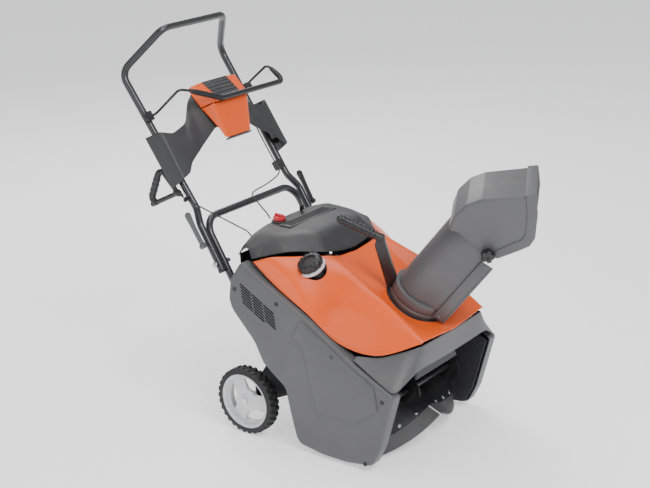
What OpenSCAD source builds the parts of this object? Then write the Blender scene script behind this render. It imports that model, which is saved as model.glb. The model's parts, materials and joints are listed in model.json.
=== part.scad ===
// Single-stage snow blower, millimetres, +Z up.
// The front (intake) faces -Y, the operator stands at +Y, and the operator's left is +X.
// The origin is the middle of the scraper bar's underside, which rests on the ground with the two wheels.

/* [Body] */
// Overall width across the two side panels
body_w = 560; // [480:5:640]
// Wall of the moulded side panels
panel_wall = 3; // [2:0.5:4]
// Depth that the side panels wrap inwards
panel_depth = 40; // [30:1:44]
// Wall of the hood, cover and nose mouldings
skin_wall = 3; // [2:0.5:4]
// Clearance left between neighbouring mouldings
skin_gap = 1; // [0.5:0.25:2]

/* [Wheels] */
// Outside diameter of the tyres
wheel_d = 203; // [180:1:230]
// Width of each tyre
tyre_w = 44; // [34:1:50]
// Diameter of the wheel axle
axle_d = 12.7; // [10:0.1:16]
// Distance from the scraper bar's middle back to the axle
axle_y = 235; // [225:1:260]

/* [Rotor] */
// Radius swept by the rubber paddles
rotor_r = 126; // [100:1:127]
// Clear width between the housing's end plates
rotor_room = 452; // [420:1:460]
// Diameter of the rotor shaft
rotor_shaft_d = 16; // [14:0.5:20]
// Thickness of the rubber paddles
rubber_t = 6; // [4:0.5:9]
// Gap between the paddle tips and the housing
paddle_gap = 12; // [8:0.5:16]

/* [Chute] */
// Radius of the chute tube's rounded back
chute_r = 72; // [60:1:76]
// Wall of the chute, its ring and the deflector
chute_wall = 3; // [2:0.25:4]
// Length of the chute tube along its own axis
chute_len = 262; // [240:1:290]
// Forward tilt of the axis that the chute turns about
chute_tilt = 30; // [20:1:35]
// Stored turn of the chute towards the operator's left
chute_turn = 30; // [-90:5:90]
// Running gap between the chute ring and its fixed base
chute_gap = 0.6; // [0.4:0.1:1.5]

/* [Handle] */
// Outside diameter of the handle tubes
tube_d = 22; // [19:0.5:25.4]
// Wall of the handle tubes
tube_wall = 1.6; // [1.2:0.1:2.5]
// Half spacing of the lower handle's two legs
leg_x = 212; // [200:1:214]
// Bend radius at the centre line of the tubes
bend_r = 55; // [40:1:65]

/* [Fits] */
// Radial running clearance of shafts, axles and pivots
run_fit = 0.05; // [0.02:0.01:0.1]
// Diameter of the pivot and clamping bolts
bolt_d = 8; // [6:0.5:10]
// Gap between parts that turn or slide past each other
move_gap = 1; // [0.6:0.1:2]

/* [Hidden] */
$fn = 48;

// ---- shared places ----
half_w = body_w / 2;
wheel_r = wheel_d / 2;
axle_z = wheel_r;
rotor_y = -150;
rotor_z = rotor_r + 6;
house_r = rotor_r + paddle_gap;
house_wall = 3;
end_x = rotor_room / 2;
end_wall = 3;
panel_in = half_w - panel_depth;
deck_z = 196;
deck_wall = 3;
scraper_t = 6;

// ---- small helpers ----
function unit(v) = v / norm(v);
function lerp(a, b, t) = a + (b - a) * t;
function mirror_x(p) = [-p.x, p.y, p.z];

// Insets a counter-clockwise outline by d, keeping every corner mitred.
function inset(p, d) = let (n = len(p)) [
    for (i = [0:n - 1])
        let (u = unit(p[i] - p[(i + n - 1) % n]), v = unit(p[(i + 1) % n] - p[i]))
        let (a = [-u.y, u.x], b = [-v.y, v.x])
        p[i] + d * (a + b) / (1 + a * b)
];

// Extrudes an outline drawn in Y and Z along X, from x0 to x1.
module along_x(x0, x1) {
    multmatrix([[0, 0, 1, x0], [1, 0, 0, 0], [0, 1, 0, 0], [0, 0, 0, 1]])
        linear_extrude(x1 - x0)
            children();
}

// A round bar between two points.
module rod(a, b, r) {
    d = b - a;
    translate(a)
        rotate([0, acos(d.z / norm(d)), atan2(d.y, d.x)])
            cylinder(r = r, h = norm(d));
}

// A bar along X.
module rod_x(x0, x1, y, z, r) {
    translate([x0, y, z])
        rotate([0, 90, 0])
            cylinder(r = r, h = x1 - x0);
}

// A polyline with its corners rounded to radius br, n steps to each.
function corner(p, i, br, n) =
    let (u = unit(p[i] - p[i - 1]), v = unit(p[i + 1] - p[i]))
    let (a = acos(max(-1, min(1, u * v))), w = unit(v - u * (u * v)))
    let (start = p[i] - u * br * tan(a / 2))
    [for (k = [0:n]) start + br * (sin(a * k / n) * u + (1 - cos(a * k / n)) * w)];
function rounded(p, br, n) = concat([p[0]],
    [for (i = [1:len(p) - 2]) for (q = corner(p, i, br, n)) q], [p[len(p) - 1]]);

// Points of a ring with n sides about point i of a route.
function ring_at(p, i, r, n) =
    let (t = unit(p[min(i + 1, len(p) - 1)] - p[max(i - 1, 0)]))
    let (side = unit(cross(t, abs(t.y) < 0.95 ? [0, 1, 0] : [0, 0, 1])), up = cross(side, t))
    [for (k = [0:n - 1]) p[i] + r * (side * cos(360 * k / n) + up * sin(360 * k / n))];
function wall_faces(m, n, at, flip) = [
    for (i = [0:m - 2]) for (k = [0:n - 1])
        let (q = (k + 1) % n, a = at + i * n + k, b = at + i * n + q, c = at + (i + 1) * n + q,
            d = at + (i + 1) * n + k)
        for (f = flip ? [[a, c, b], [a, d, c]] : [[a, b, c], [a, c, d]]) f];

// A bar with n sides along a route.
module swept(p, r, n) {
    m = len(p);
    polyhedron(
        points = [for (i = [0:m - 1]) for (q = ring_at(p, i, r, n)) q],
        faces = concat(wall_faces(m, n, 0, false),
            [[for (k = [n - 1:-1:0]) k]], [[for (k = [0:n - 1]) (m - 1) * n + k]]));
}

// A tube with n sides along a route.
module swept_tube(p, r, wall, n) {
    m = len(p);
    polyhedron(
        points = concat([for (i = [0:m - 1]) for (q = ring_at(p, i, r, n)) q],
            [for (i = [0:m - 1]) for (q = ring_at(p, i, r - wall, n)) q]),
        faces = concat(wall_faces(m, n, 0, false), wall_faces(m, n, m * n, true),
            [for (k = [0:n - 1]) let (q = (k + 1) % n)
                for (f = [[k, m * n + k, q], [q, m * n + k, m * n + q]]) f],
            [for (k = [0:n - 1]) let (q = (k + 1) % n, z = (m - 1) * n)
                for (f = [[z + k, z + q, m * n + z + k], [z + q, m * n + z + q, m * n + z + k]]) f]));
}

// A closed plate of even thickness t under a grid of points, rows by columns.
function grid_normal(g, i, j) =
    let (i0 = max(i - 1, 0), i1 = min(i + 1, len(g) - 1))
    let (j0 = max(j - 1, 0), j1 = min(j + 1, len(g[0]) - 1))
    unit(cross(g[i][j1] - g[i][j0], g[i1][j] - g[i0][j]));

// The same grid moved out along its normals by d.
function shifted(g, d) = [
    for (i = [0:len(g) - 1])
        [for (j = [0:len(g[0]) - 1]) g[i][j] + grid_normal(g, i, j) * d]
];

module plate(g, t) {
    nr = len(g);
    nc = len(g[0]);
    m = nr * nc;
    top = [for (i = [0:nr - 1]) for (j = [0:nc - 1]) g[i][j]];
    low = [for (i = [0:nr - 1]) for (j = [0:nc - 1]) g[i][j] - grid_normal(g, i, j) * t];
    quads = [for (i = [0:nr - 2]) for (j = [0:nc - 2])
        [i * nc + j, i * nc + j + 1, (i + 1) * nc + j + 1, (i + 1) * nc + j]];
    rim = concat(
        [for (j = [0:nc - 2]) [j, j + 1]],
        [for (i = [0:nr - 2]) [i * nc + nc - 1, (i + 1) * nc + nc - 1]],
        [for (j = [nc - 2:-1:0]) [(nr - 1) * nc + j + 1, (nr - 1) * nc + j]],
        [for (i = [nr - 2:-1:0]) [(i + 1) * nc, i * nc]]);
    faces = concat(
        [for (q = quads) [q[0], q[3], q[2]]],
        [for (q = quads) [q[0], q[2], q[1]]],
        [for (q = quads) [q[0] + m, q[1] + m, q[2] + m]],
        [for (q = quads) [q[0] + m, q[2] + m, q[3] + m]],
        [for (e = rim) [e[0], e[1], e[1] + m]],
        [for (e = rim) [e[0], e[1] + m, e[0] + m]]);
    polyhedron(points = concat(top, low), faces = faces);
}

// Smooth points between hand-set stations (Catmull-Rom), n steps to each.
function spline_at(p, i, t) =
    let (a = p[max(i - 1, 0)], b = p[i], c = p[i + 1], d = p[min(i + 2, len(p) - 1)])
    0.5 * ((2 * b) + (c - a) * t + (2 * a - 5 * b + 4 * c - d) * t * t
        + (3 * b - a - 3 * c + d) * t * t * t);
function spline(p, n) = concat(
    [for (i = [0:len(p) - 2]) for (k = [0:n - 1]) spline_at(p, i, k / n)],
    [p[len(p) - 1]]);

// Rows that run across the machine from lines given for the +X half only.
function across(lines) = [
    for (i = [0:len(lines[0]) - 1])
        concat([for (l = lines) mirror_x(l[i])],
            [for (k = [len(lines) - 2:-1:0]) lines[k][i]])
];

// ---- side panels and end plates ----
// Outline of a side panel in Y and Z, counter-clockwise from its lower front corner.
panel_line = [[-214, 21], [-127, 8], [-46, 8], [33, 20], [48, 38], [62, 89], [76, 147], [83, 182],
    [162, 240], [193, 300], [271, 382], [282, 412], [274, 475], [234, 533], [155, 489], [-12, 400],
    [-158, 310], [-287, 245], [-242, 77]];
// Height of the panel's top edge at y.
function panel_top(y) = lookup(y, [[-287, 245], [-158, 310], [-12, 400], [155, 489], [234, 533]]);
screw_places = [[-252, 226], [-194, 24], [-86, 321], [105, 434], [256, 448]];
boss_r = 8;
screw_r = 2.6;
screw_head_r = 6.5;
bearing_r = 15;
shaft_r = rotor_shaft_d / 2;
crank_y = 120;
crank_z = 300;
crank_r = 10;
belt_x = 250;
idler_y = 21;
idler_z = 157;
idler_pivot = [72, 189];
pivot_r = bolt_d / 2;

// Louvre slots run parallel to the panel's top edge.
louvre_start = [234, 471];
louvre_slope = 29;
louvre_pitch = 9;
louvre_slot = 5;
louvre_bay = 47;
louvre_bar = 3;

module louvre_cut(x0, x1) {
    along_x(x0, x1)
        for (row = [0:6])
            translate([louvre_start[0] - row * 1.2, louvre_start[1] - row * louvre_pitch])
                rotate(180 + louvre_slope)
                    for (bay = [0:row < 6 ? 2 : 1])
                        translate([bay * louvre_bay, 0])
                            square([louvre_bay - louvre_bar, louvre_slot]);
}

module panel_shape() {
    difference() {
        along_x(panel_in, half_w)
            polygon(panel_line);
        along_x(panel_in - 1, half_w - panel_wall)
            polygon(inset(panel_line, panel_wall));
        louvre_cut(half_w - panel_wall - 1, half_w + 1);
        for (p = screw_places)
            rod_x(half_w - panel_wall - 1, half_w + 1, p[0], p[1], screw_r);
    }
}

module side_panel_left() {
    color("#7c7c7e") panel_shape();
}

module side_panel_right() {
    color("#7c7c7e") mirror([1, 0, 0]) panel_shape();
}

// End plate with screw bosses that reach out to the panel.
module end_plate_shape() {
    difference() {
        union() {
            along_x(end_x, end_x + end_wall)
                polygon(inset(panel_line, 5));
            intersection() {
                for (p = screw_places)
                    rod_x(end_x + end_wall - 1, half_w - panel_wall, p[0], p[1], boss_r);
                along_x(end_x, half_w)
                    polygon(inset(panel_line, panel_wall + 0.2));
            }
        }
        for (p = screw_places)
            rod_x(end_x - 1, half_w, p[0], p[1], screw_r);
        rod_x(end_x - 1, end_x + end_wall + 1, rotor_y, rotor_z, bearing_r);
    }
}

module end_plate_left() {
    color("#2c2c2e")
        difference() {
            end_plate_shape();
            rod_x(end_x - 1, end_x + end_wall + 1, crank_y, crank_z, crank_r + 3);
            rod_x(end_x - 1, end_x + end_wall + 1, idler_pivot[0], idler_pivot[1], pivot_r);
        }
}

module end_plate_right() {
    color("#2c2c2e") mirror([1, 0, 0]) end_plate_shape();
}

module panel_screws() {
    color("#1c1c1e")
        for (side = [-1, 1])
            for (p = screw_places)
                union() {
                    rod_x(side > 0 ? end_x : -half_w, side > 0 ? half_w : -end_x, p[0], p[1], screw_r);
                    rod_x(side > 0 ? half_w : -half_w - 2, side > 0 ? half_w + 2 : -half_w,
                        p[0], p[1], screw_head_r);
                }
}

// ---- intake housing ----
roof_front = [-301.5, 298];
roof_angle = 96;
scraper_front = -90;
scraper_rear = 20;
house_out = house_r + house_wall;
sill_angle = -asin((rotor_z - scraper_t) / house_out);
throat_x = 112;
throat_front = -252;
throat_rear = -104;

function on_arc(r, a) = [rotor_y + r * cos(a), rotor_z + r * sin(a)];

module auger_housing() {
    color("#303033")
        difference() {
            along_x(-end_x, end_x)
                difference() {
                    union() {
                        intersection() {
                            translate([rotor_y, rotor_z])
                                circle(r = house_out, $fn = 96);
                            polygon(concat([[rotor_y, rotor_z]],
                                [for (i = [0:8]) on_arc(2 * house_out, lerp(sill_angle, roof_angle, i / 8))]));
                        }
                        polygon([on_arc(house_r - 0.5, roof_angle - 3), on_arc(house_out - 0.3, roof_angle - 3),
                            on_arc(house_out, roof_angle),
                            [roof_front[0], roof_front[1] + house_wall], roof_front, on_arc(house_r, roof_angle)]);
                    }
                    translate([rotor_y, rotor_z])
                        circle(r = house_r, $fn = 96);
                }
            translate([-throat_x + house_wall, throat_front + house_wall, rotor_z + 60])
                cube([2 * (throat_x - house_wall), throat_rear - throat_front - 2 * house_wall, 200]);
            // Room for the corners of the nose.
            both_sides()
                translate([0, 0, roof_front[1] - 10])
                    linear_extrude(30)
                        polygon([[160, -310], [end_x + 10, -310], [end_x + 10, -226]]);
        }
}

module scraper_bar() {
    color("#3a3a3c")
        translate([-end_x, scraper_front, 0])
            cube([2 * end_x, scraper_rear - scraper_front, scraper_t]);
}

// ---- chute seat: a frame along the turning axis ----
ring_y = -208;
ring_z = 467;
base_low = -62;
base_top = -54;
ring_low = base_top + move_gap;
ring_top = -6;
ring_out = chute_r + 12;
ring_in = chute_r - 1;
collar_out = ring_in - chute_gap;
collar_in = collar_out - 4;
collar_top = -12;
base_r = 90;

module at_ring() {
    translate([0, ring_y, ring_z])
        rotate([chute_tilt, 0, 0])
            children();
}

// A duct from the housing's opening up to the ring base; over lengthens it at both ends.
module duct(grow, over) {
    hull() {
        translate([-throat_x - grow, throat_front - grow, rotor_z + 90 - over])
            cube([2 * (throat_x + grow), throat_rear - throat_front + 2 * grow, 1]);
        at_ring()
            translate([0, 0, base_low - 1 + over])
                cylinder(r = collar_in + house_wall + grow, h = 1, $fn = 32);
    }
}

module discharge_throat() {
    color("#303033")
        difference() {
            duct(0, 0);
            duct(-house_wall, 1.5);
            rod_x(-throat_x - 5, throat_x + 5, rotor_y, rotor_z, house_out);
        }
}

module chute_base() {
    color("#2a2a2c")
        at_ring()
            difference() {
                union() {
                    translate([0, 0, base_low])
                        cylinder(r = base_r, h = base_top - base_low);
                    translate([0, 0, base_low])
                        cylinder(r = collar_out, h = collar_top - base_low);
                }
                translate([0, 0, base_low - 1])
                    cylinder(r = collar_in, h = collar_top - base_low + 2);
            }
}

// ---- engine deck, axle and wheels ----
flange_x = leg_x - tube_d / 2 - deck_wall;
axle_r = axle_d / 2;
hub_r = 20;

module engine_deck() {
    color("#333336")
        difference() {
            union() {
                translate([-end_x, -18, deck_z])
                    cube([2 * end_x, 210, deck_wall]);
                for (side = [0, 1])
                    mirror([side, 0, 0])
                        along_x(flange_x, flange_x + deck_wall)
                            polygon([[60, deck_z], [70, 150], [axle_y - 25, axle_z - 20],
                                [axle_y + 20, axle_z - 20], [axle_y + 20, axle_z + 25], [205, 205],
                                [243, 292], [240, 314], [218, 318], [205, 300], [172, 232], [160, deck_z]]);
                for (side = [0, 1])
                    mirror([side, 0, 0])
                        rod_x(flange_x - 14, half_w - tyre_w - move_gap, axle_y, axle_z, axle_r + 5);
            }
            rod_x(-half_w, half_w, axle_y, axle_z, axle_r);
            for (side = [-1, 1])
                for (p = leg_bolts)
                    rod_x(side * flange_x - 10, side * flange_x + 10, p[0], p[1], pivot_r);
        }
}

module wheel_axle() {
    color("#b9bcc0")
        union() {
            rod_x(-half_w + 3, half_w - 3, axle_y, axle_z, axle_r);
            for (side = [0, 1])
                mirror([side, 0, 0])
                    rod_x(half_w - 5.5, half_w - 1, axle_y, axle_z, axle_r + 5);
        }
}

rim_r = 84;
tread_lugs = 36;

module tyre_shape() {
    tyre_in = half_w - tyre_w;
    difference() {
        translate([tyre_in, axle_y, axle_z])
            rotate([0, 90, 0])
                rotate_extrude($fn = 72)
                    polygon([[rim_r, 4], [wheel_r - 8, 0], [wheel_r, 7], [wheel_r, tyre_w - 7],
                        [wheel_r - 8, tyre_w], [rim_r, tyre_w - 4]]);
        for (k = [0:tread_lugs - 1])
            translate([tyre_in, axle_y, axle_z])
                rotate([k * 360 / tread_lugs, 0, 0])
                    translate([tyre_w / 2, 0, wheel_r])
                        cube([tyre_w + 2, 3, 5], center = true);
    }
}

module rim_shape() {
    wheel_in = half_w - tyre_w;
    color("#e6e6e6")
        translate([wheel_in, axle_y, axle_z])
            rotate([0, 90, 0])
                difference() {
                    union() {
                        rotate_extrude($fn = 72)
                            polygon([[rim_r - 14, 4], [rim_r, 4], [rim_r, tyre_w - 4], [rim_r - 14, tyre_w - 4],
                                [rim_r - 6, tyre_w - 8], [rim_r - 6, 8]]);
                        cylinder(r = hub_r, h = tyre_w - 6);
                        for (k = [0:2])
                            rotate(k * 120 + 60)
                                translate([hub_r - 4, -11, 14])
                                    cube([rim_r - hub_r, 22, 10]);
                    }
                    translate([0, 0, -1])
                        cylinder(r = axle_r + run_fit, h = tyre_w);
                }
}

module tyre_left() {
    color("#1d1d1f") tyre_shape();
}

module tyre_right() {
    color("#1d1d1f") mirror([1, 0, 0]) tyre_shape();
}

module rim_left() {
    rim_shape();
}

module rim_right() {
    mirror([1, 0, 0]) rim_shape();
}

// ---- rotor ----
rotor_half = end_x - 6;
flight_in = 34;
flight_out = 84;
hub_plate_r = 46;
spine_t = 3;

// Twist of the flights at distance x from the middle.
function flight_turn(x) = 60 * abs(x) / rotor_half;

// A helicoid sheet on one side of the rotor, between two radii and two distances from the middle.
function flight_grid(x0, x1, r0, r1, phase, n) = [
    for (i = [0:n])
        let (x = lerp(x0, x1, i / n), a = phase + flight_turn(x))
        [for (r = [r0, (r0 + r1) / 2, r1]) [x, rotor_y + r * cos(a), rotor_z + r * sin(a)]]
];

module rotor_shaft() {
    color("#6b6d70")
        rod_x(-end_x - end_wall - 8, belt_x + 14, rotor_y, rotor_z, shaft_r);
}

module both_sides() {
    children();
    mirror([1, 0, 0])
        children();
}

wing_phases = [197, 17];
bolt_places = [for (x = [50, 115, 180]) x];
bolt_at_r = flight_out - 11;

module rotor_bolts_shape(r) {
    both_sides()
        for (phase = wing_phases)
            for (x = bolt_places)
                translate([x, rotor_y, rotor_z])
                    rotate([phase + flight_turn(x), 0, 0])
                        translate([0, bolt_at_r, 0])
                            cylinder(r = r, h = 30, center = true);
}

module rotor_flights() {
    color("#232325")
        difference() {
            union() {
                for (x = [-rotor_half, rotor_half - 4, -2])
                    rod_x(x, x + 4, rotor_y, rotor_z, hub_plate_r);
                both_sides()
                    for (phase = wing_phases)
                        plate(flight_grid(1, rotor_half - 1, flight_in, flight_out, phase, 10), spine_t);
            }
            rod_x(-end_x, end_x, rotor_y, rotor_z, shaft_r);
            rotor_bolts_shape(3);
        }
}

module rubber_paddles() {
    color("#4b4b4d")
        difference() {
            both_sides()
                for (phase = wing_phases)
                    plate(shifted(flight_grid(5, rotor_half - 5, hub_plate_r + 8, rotor_r, phase, 10),
                        -spine_t - 0.6), rubber_t);
            rotor_bolts_shape(3);
        }
}

module rotor_bolts() {
    color("#b5b7ba")
        rotor_bolts_shape(3);
}

module rotor_bearings() {
    color("#c9a85a")
        for (side = [0, 1])
            mirror([side, 0, 0])
                difference() {
                    union() {
                        rod_x(end_x, end_x + end_wall, rotor_y, rotor_z, bearing_r);
                        rod_x(end_x + end_wall, end_x + end_wall + 3, rotor_y, rotor_z, bearing_r + 5);
                    }
                    rod_x(end_x - 1, end_x + end_wall + 4, rotor_y, rotor_z, shaft_r + run_fit);
                }
}

// ---- engine ----
block_x0 = -60;
block_x1 = 96;
crankcase_r = 62;

module engine_block() {
    color("#8b8d90")
        difference() {
            union() {
                translate([block_x0, crank_y - 62, deck_z + deck_wall])
                    cube([block_x1 - block_x0, 124, 62]);
                rod_x(block_x0, block_x1, crank_y, crank_z, crankcase_r);
                translate([-20, crank_y - 40, crank_z])
                    cube([76, 80, 178]);
                for (k = [0:8])
                    translate([-38, crank_y - 56, crank_z + 78 + k * 11])
                        cube([112, 112, 3]);
                rod_x(block_x1 - 1, block_x1 + 14, crank_y, crank_z, 26);
            }
            rod_x(block_x0 - 1, block_x1 + 20, crank_y, crank_z, crank_r + run_fit);
            translate([18, crank_y, crank_z + 160])
                cylinder(r = 7, h = 30);
        }
}

module spark_plug() {
    color("#e9e6dd")
        translate([18, crank_y, crank_z + 160])
            union() {
                cylinder(r = 7, h = 18);
                translate([0, 0, 18])
                    cylinder(r = 10, h = 8, $fn = 6);
                translate([0, 0, 26])
                    cylinder(r = 5, h = 26);
            }
}

module crankshaft() {
    color("#9a9ca0")
        rod_x(-128, belt_x + 16, crank_y, crank_z, crank_r);
}

flywheel_r = 78;
module flywheel() {
    color("#7d7f82")
        difference() {
            union() {
                rod_x(-100, -70, crank_y, crank_z, flywheel_r - 14);
                for (k = [0:17])
                    translate([0, crank_y, crank_z])
                        rotate([k * 20, 0, 0])
                            translate([-100, 10, -1.5])
                                cube([16, flywheel_r - 10, 3]);
            }
            rod_x(-101, -69, crank_y, crank_z, crank_r);
        }
}

// Recoil housing: a shallow drum that encloses the rope reel, with an outlet towards the handle.
recoil_in = -106;
recoil_out = -150;
rope_r = 2.2;
rope_exit = [-178, 285, 590];
rope_eye = [-240, 460, 672];

module recoil_housing() {
    color("#3f4042")
        difference() {
            union() {
                rod_x(recoil_out, recoil_in, crank_y, crank_z, flywheel_r + 12);
                translate([recoil_out, crank_y - 70, deck_z + deck_wall])
                    cube([recoil_in - recoil_out, 140, 30]);
            }
            rod_x(recoil_out + 3, recoil_in + 1, crank_y, crank_z, flywheel_r + 8);
            for (k = [0:11])
                translate([0, crank_y, crank_z])
                    rotate([k * 30, 0, 0])
                        translate([recoil_out - 1, 30, -4])
                            cube([6, 40, 8]);
        }
}

// The starter rope is held all the way: reel, cover outlet and the eye on the handle tube.
rope_route = [[-128, 165.2, 378.2], [-134, 192, 425], [-154, 240, 505], rope_exit,
    lerp(rope_exit, rope_eye, 0.35), lerp(rope_exit, rope_eye, 0.7), rope_eye];

module fuel_tank() {
    color("#2d2d30")
        difference() {
            union() {
                translate([-end_x, 16, 394])
                    cube([114, 90, 62]);
                at_cap()
                    translate([0, 0, -97])
                        cylinder(r = neck_r, h = 105);
            }
            translate([-end_x + 3, 19, 397])
                cube([108, 84, 56]);
            at_cap()
                translate([0, 0, -112])
                    cylinder(r = 23, h = 112);
        }
}

// The filler looks outwards from the hood's right flank.
cap_at = [-184, 50, 534];
cap_lean = 30;
cap_r = 34;
neck_r = 27;
module at_cap() {
    translate(cap_at)
        rotate([-8, -cap_lean, 0])
            children();
}

module fuel_cap() {
    color("#1b1b1d")
        at_cap()
            difference() {
                union() {
                    cylinder(r = cap_r, h = 20);
                    for (k = [0:11])
                        rotate(k * 30)
                            translate([cap_r - 1, 0, 0])
                                cylinder(r = 4, h = 18);
                }
                translate([0, 0, 15])
                    cylinder(r = 18, h = 10);
                translate([0, 0, -1])
                    cylinder(r = neck_r + 0.3, h = 11);
            }
}

module muffler() {
    color("#5c5c5f")
        difference() {
            union() {
                translate([100, 20, 330])
                    cube([92, 150, 84]);
                rod_x(74, 101, crank_y, 400, 14);
            }
            translate([103, 23, 333])
                cube([86, 144, 78]);
            for (k = [0:4])
                translate([120 + k * 14, 10, 350])
                    cube([6, 20, 44]);
        }
}

module carburettor() {
    color("#a5a7a9")
        union() {
            translate([-14, 176, 380])
                cube([64, 50, 56]);
            translate([-40, 226, 360])
                cube([116, 34, 100]);
            translate([18, 201, 350])
                cylinder(r = 18, h = 31);
        }
}

// ---- belt drive, on the operator's left behind the side panel ----
rotor_pulley_r = 60;
crank_pulley_r = 28;
idler_r = 18;
belt_w = 10;
belt_h = 8;
groove = 7;

module pulley(r, y, z, bore, x0, x1) {
    difference() {
        translate([x0, y, z])
            rotate([0, 90, 0])
                rotate_extrude($fn = 72)
                    polygon([[0, 0], [r, 0], [r, 2], [r - groove - 1, 3.4], [r - groove - 1, x1 - x0 - 3.4],
                        [r, x1 - x0 - 2], [r, x1 - x0], [0, x1 - x0]]);
        rod_x(x0 - 1, x1 + 1, y, z, bore);
    }
}

module rotor_pulley() {
    color("#6d6f72")
        pulley(rotor_pulley_r, rotor_y, rotor_z, shaft_r, belt_x - belt_w, belt_x + belt_w);
}

module crank_pulley() {
    color("#6d6f72")
        pulley(crank_pulley_r, crank_y, crank_z, crank_r, belt_x - belt_w, belt_x + belt_w);
}

module drive_belt() {
    module loop(grow) {
        hull() {
            translate([rotor_y, rotor_z])
                circle(r = rotor_pulley_r - groove + grow, $fn = 64);
            translate([crank_y, crank_z])
                circle(r = crank_pulley_r - groove + grow, $fn = 48);
        }
    }
    color("#151516")
        along_x(belt_x - belt_w / 2, belt_x + belt_w / 2)
            difference() {
                loop(belt_h);
                loop(0);
            }
}

arm_x = end_x + end_wall + move_gap;

module idler_arm() {
    color("#8a8c8f")
        union() {
            rod_x(arm_x, arm_x + 4, idler_pivot[0], idler_pivot[1], 9);
            rod_x(arm_x, arm_x + 4, idler_y, idler_z, 9);
            along_x(arm_x, arm_x + 4)
                translate(idler_pivot)
                    rotate(atan2(idler_z - idler_pivot[1], idler_y - idler_pivot[0]))
                        translate([0, -5])
                            square([norm([idler_y, idler_z] - idler_pivot), 10]);
            rod_x(end_x - 4, arm_x, idler_pivot[0], idler_pivot[1], pivot_r - run_fit);
            rod_x(arm_x + 4, belt_x + 9, idler_y, idler_z, 4);
        }
}

module idler_pulley() {
    color("#4a4c4e")
        pulley(idler_r, idler_y, idler_z, 4 + run_fit, belt_x - 8, belt_x + 8);
}

// ---- lower and upper handle ----
tube_r = tube_d / 2;
fork_gap = 1.5;
upper_x = leg_x + tube_d + fork_gap;
leg_top = [419, 612];
leg_low_z = 215;
leg_lean = 0.614;
function leg_y(z) = leg_top[0] - (leg_top[1] - z) * leg_lean;
pivot_z = 495;
clamp_z = 550;
leg_bolts = [for (z = [245, 300]) [leg_y(z), z]];

module lower_handle() {
    color("#464648")
        difference() {
            swept_tube(rounded([
                [-leg_x, leg_y(leg_low_z), leg_low_z],
                [-leg_x, leg_top[0], leg_top[1]],
                [leg_x, leg_top[0], leg_top[1]],
                [leg_x, leg_y(leg_low_z), leg_low_z]], bend_r, 6), tube_r, tube_wall, 18);
            for (side = [-1, 1])
                for (p = concat(leg_bolts, [[leg_y(pivot_z), pivot_z]]))
                    rod_x(side * leg_x - 15, side * leg_x + 15, p[0], p[1], pivot_r);
        }
}

// The bolts that hold the legs to the end plates, and the two that the upper handle folds on.
module frame_bolts() {
    color("#a9abad")
        for (side = [0, 1])
            mirror([side, 0, 0]) {
                for (p = leg_bolts) {
                    rod_x(flange_x, leg_x + tube_r + 2, p[0], p[1], pivot_r);
                    rod_x(flange_x - 5, flange_x, p[0], p[1], pivot_r + 3);
                    rod_x(leg_x + tube_r, leg_x + tube_r + 5, p[0], p[1], pivot_r + 3);
                }
                rod_x(leg_x - tube_r - 3, upper_x + tube_r + 3, leg_y(pivot_z), pivot_z, pivot_r);
                rod_x(leg_x - tube_r - 10, leg_x - tube_r - 3, leg_y(pivot_z), pivot_z, pivot_r + 3);
                rod_x(upper_x + tube_r + move_gap, upper_x + tube_r + 6, leg_y(pivot_z), pivot_z, pivot_r + 3);
            }
}

// Upper tube: a jog inwards above the fork, two long legs and the leaning loop.
jog_low = [upper_x, leg_y(601), 601];
jog_high = [214, 443, 641];
loop_low = [223, 706, 1013];
loop_top = [135, 612, 1141];
upper_end_z = 472;

module upper_handle() {
    half = [[upper_x, leg_y(upper_end_z), upper_end_z], jog_low, jog_high, loop_low, loop_top];
    path = concat([for (p = half) mirror_x(p)], [for (i = [4:-1:0]) half[i]]);
    color("#464648")
        difference() {
            swept_tube(rounded(path, bend_r * 0.8, 6), tube_r, tube_wall, 18);
            for (side = [-1, 1]) {
                rod_x(side * upper_x - 15, side * upper_x + 15, leg_y(pivot_z), pivot_z, pivot_r + run_fit);
                rod_x(side * upper_x - 15, side * upper_x + 15, leg_y(clamp_z), clamp_z, pivot_r);
            }
        }
}

// A frame that lies along the upper legs: X across, Y up the tubes, Z forwards out of them.
tube_lean = atan2(loop_low.z - jog_high.z, loop_low.y - jog_high.y);
module at_tubes() {
    translate([0, jog_high.y, jog_high.z])
        rotate([tube_lean, 0, 0])
            children();
}

function on_tubes(p) = [p.x, jog_high.y + p.y * cos(tube_lean) - p.z * sin(tube_lean),
    jog_high.z + p.y * sin(tube_lean) + p.z * cos(tube_lean)];

// The control cable runs from the bail to the clip on the left tube and down behind the lower crossbar.
cable_r = 2.4;
cable_route = concat(
    [for (p = [[196, 292, 26], [196, 250, 12], [194, 160, 0], [194, 60, -2], [194, 20, -3]]) on_tubes(p)],
    [[178, 456, 640], [120, 450, 630], [40, 428, 634], [-20, 392, 642], [-52, 352, 640], [-66, 318, 626],
    [-70, 296, 612], [-70, 285, 598]]);

module starter_rope() {
    color("#2a2a2a") swept(spline(rope_route, 4), rope_r, 8);
}

module control_cable() {
    color("#1f1f20") swept(spline(cable_route, 5), cable_r, 8);
}

bail_s = 300;
bail_d = 20;
bail_x = 240;

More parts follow.
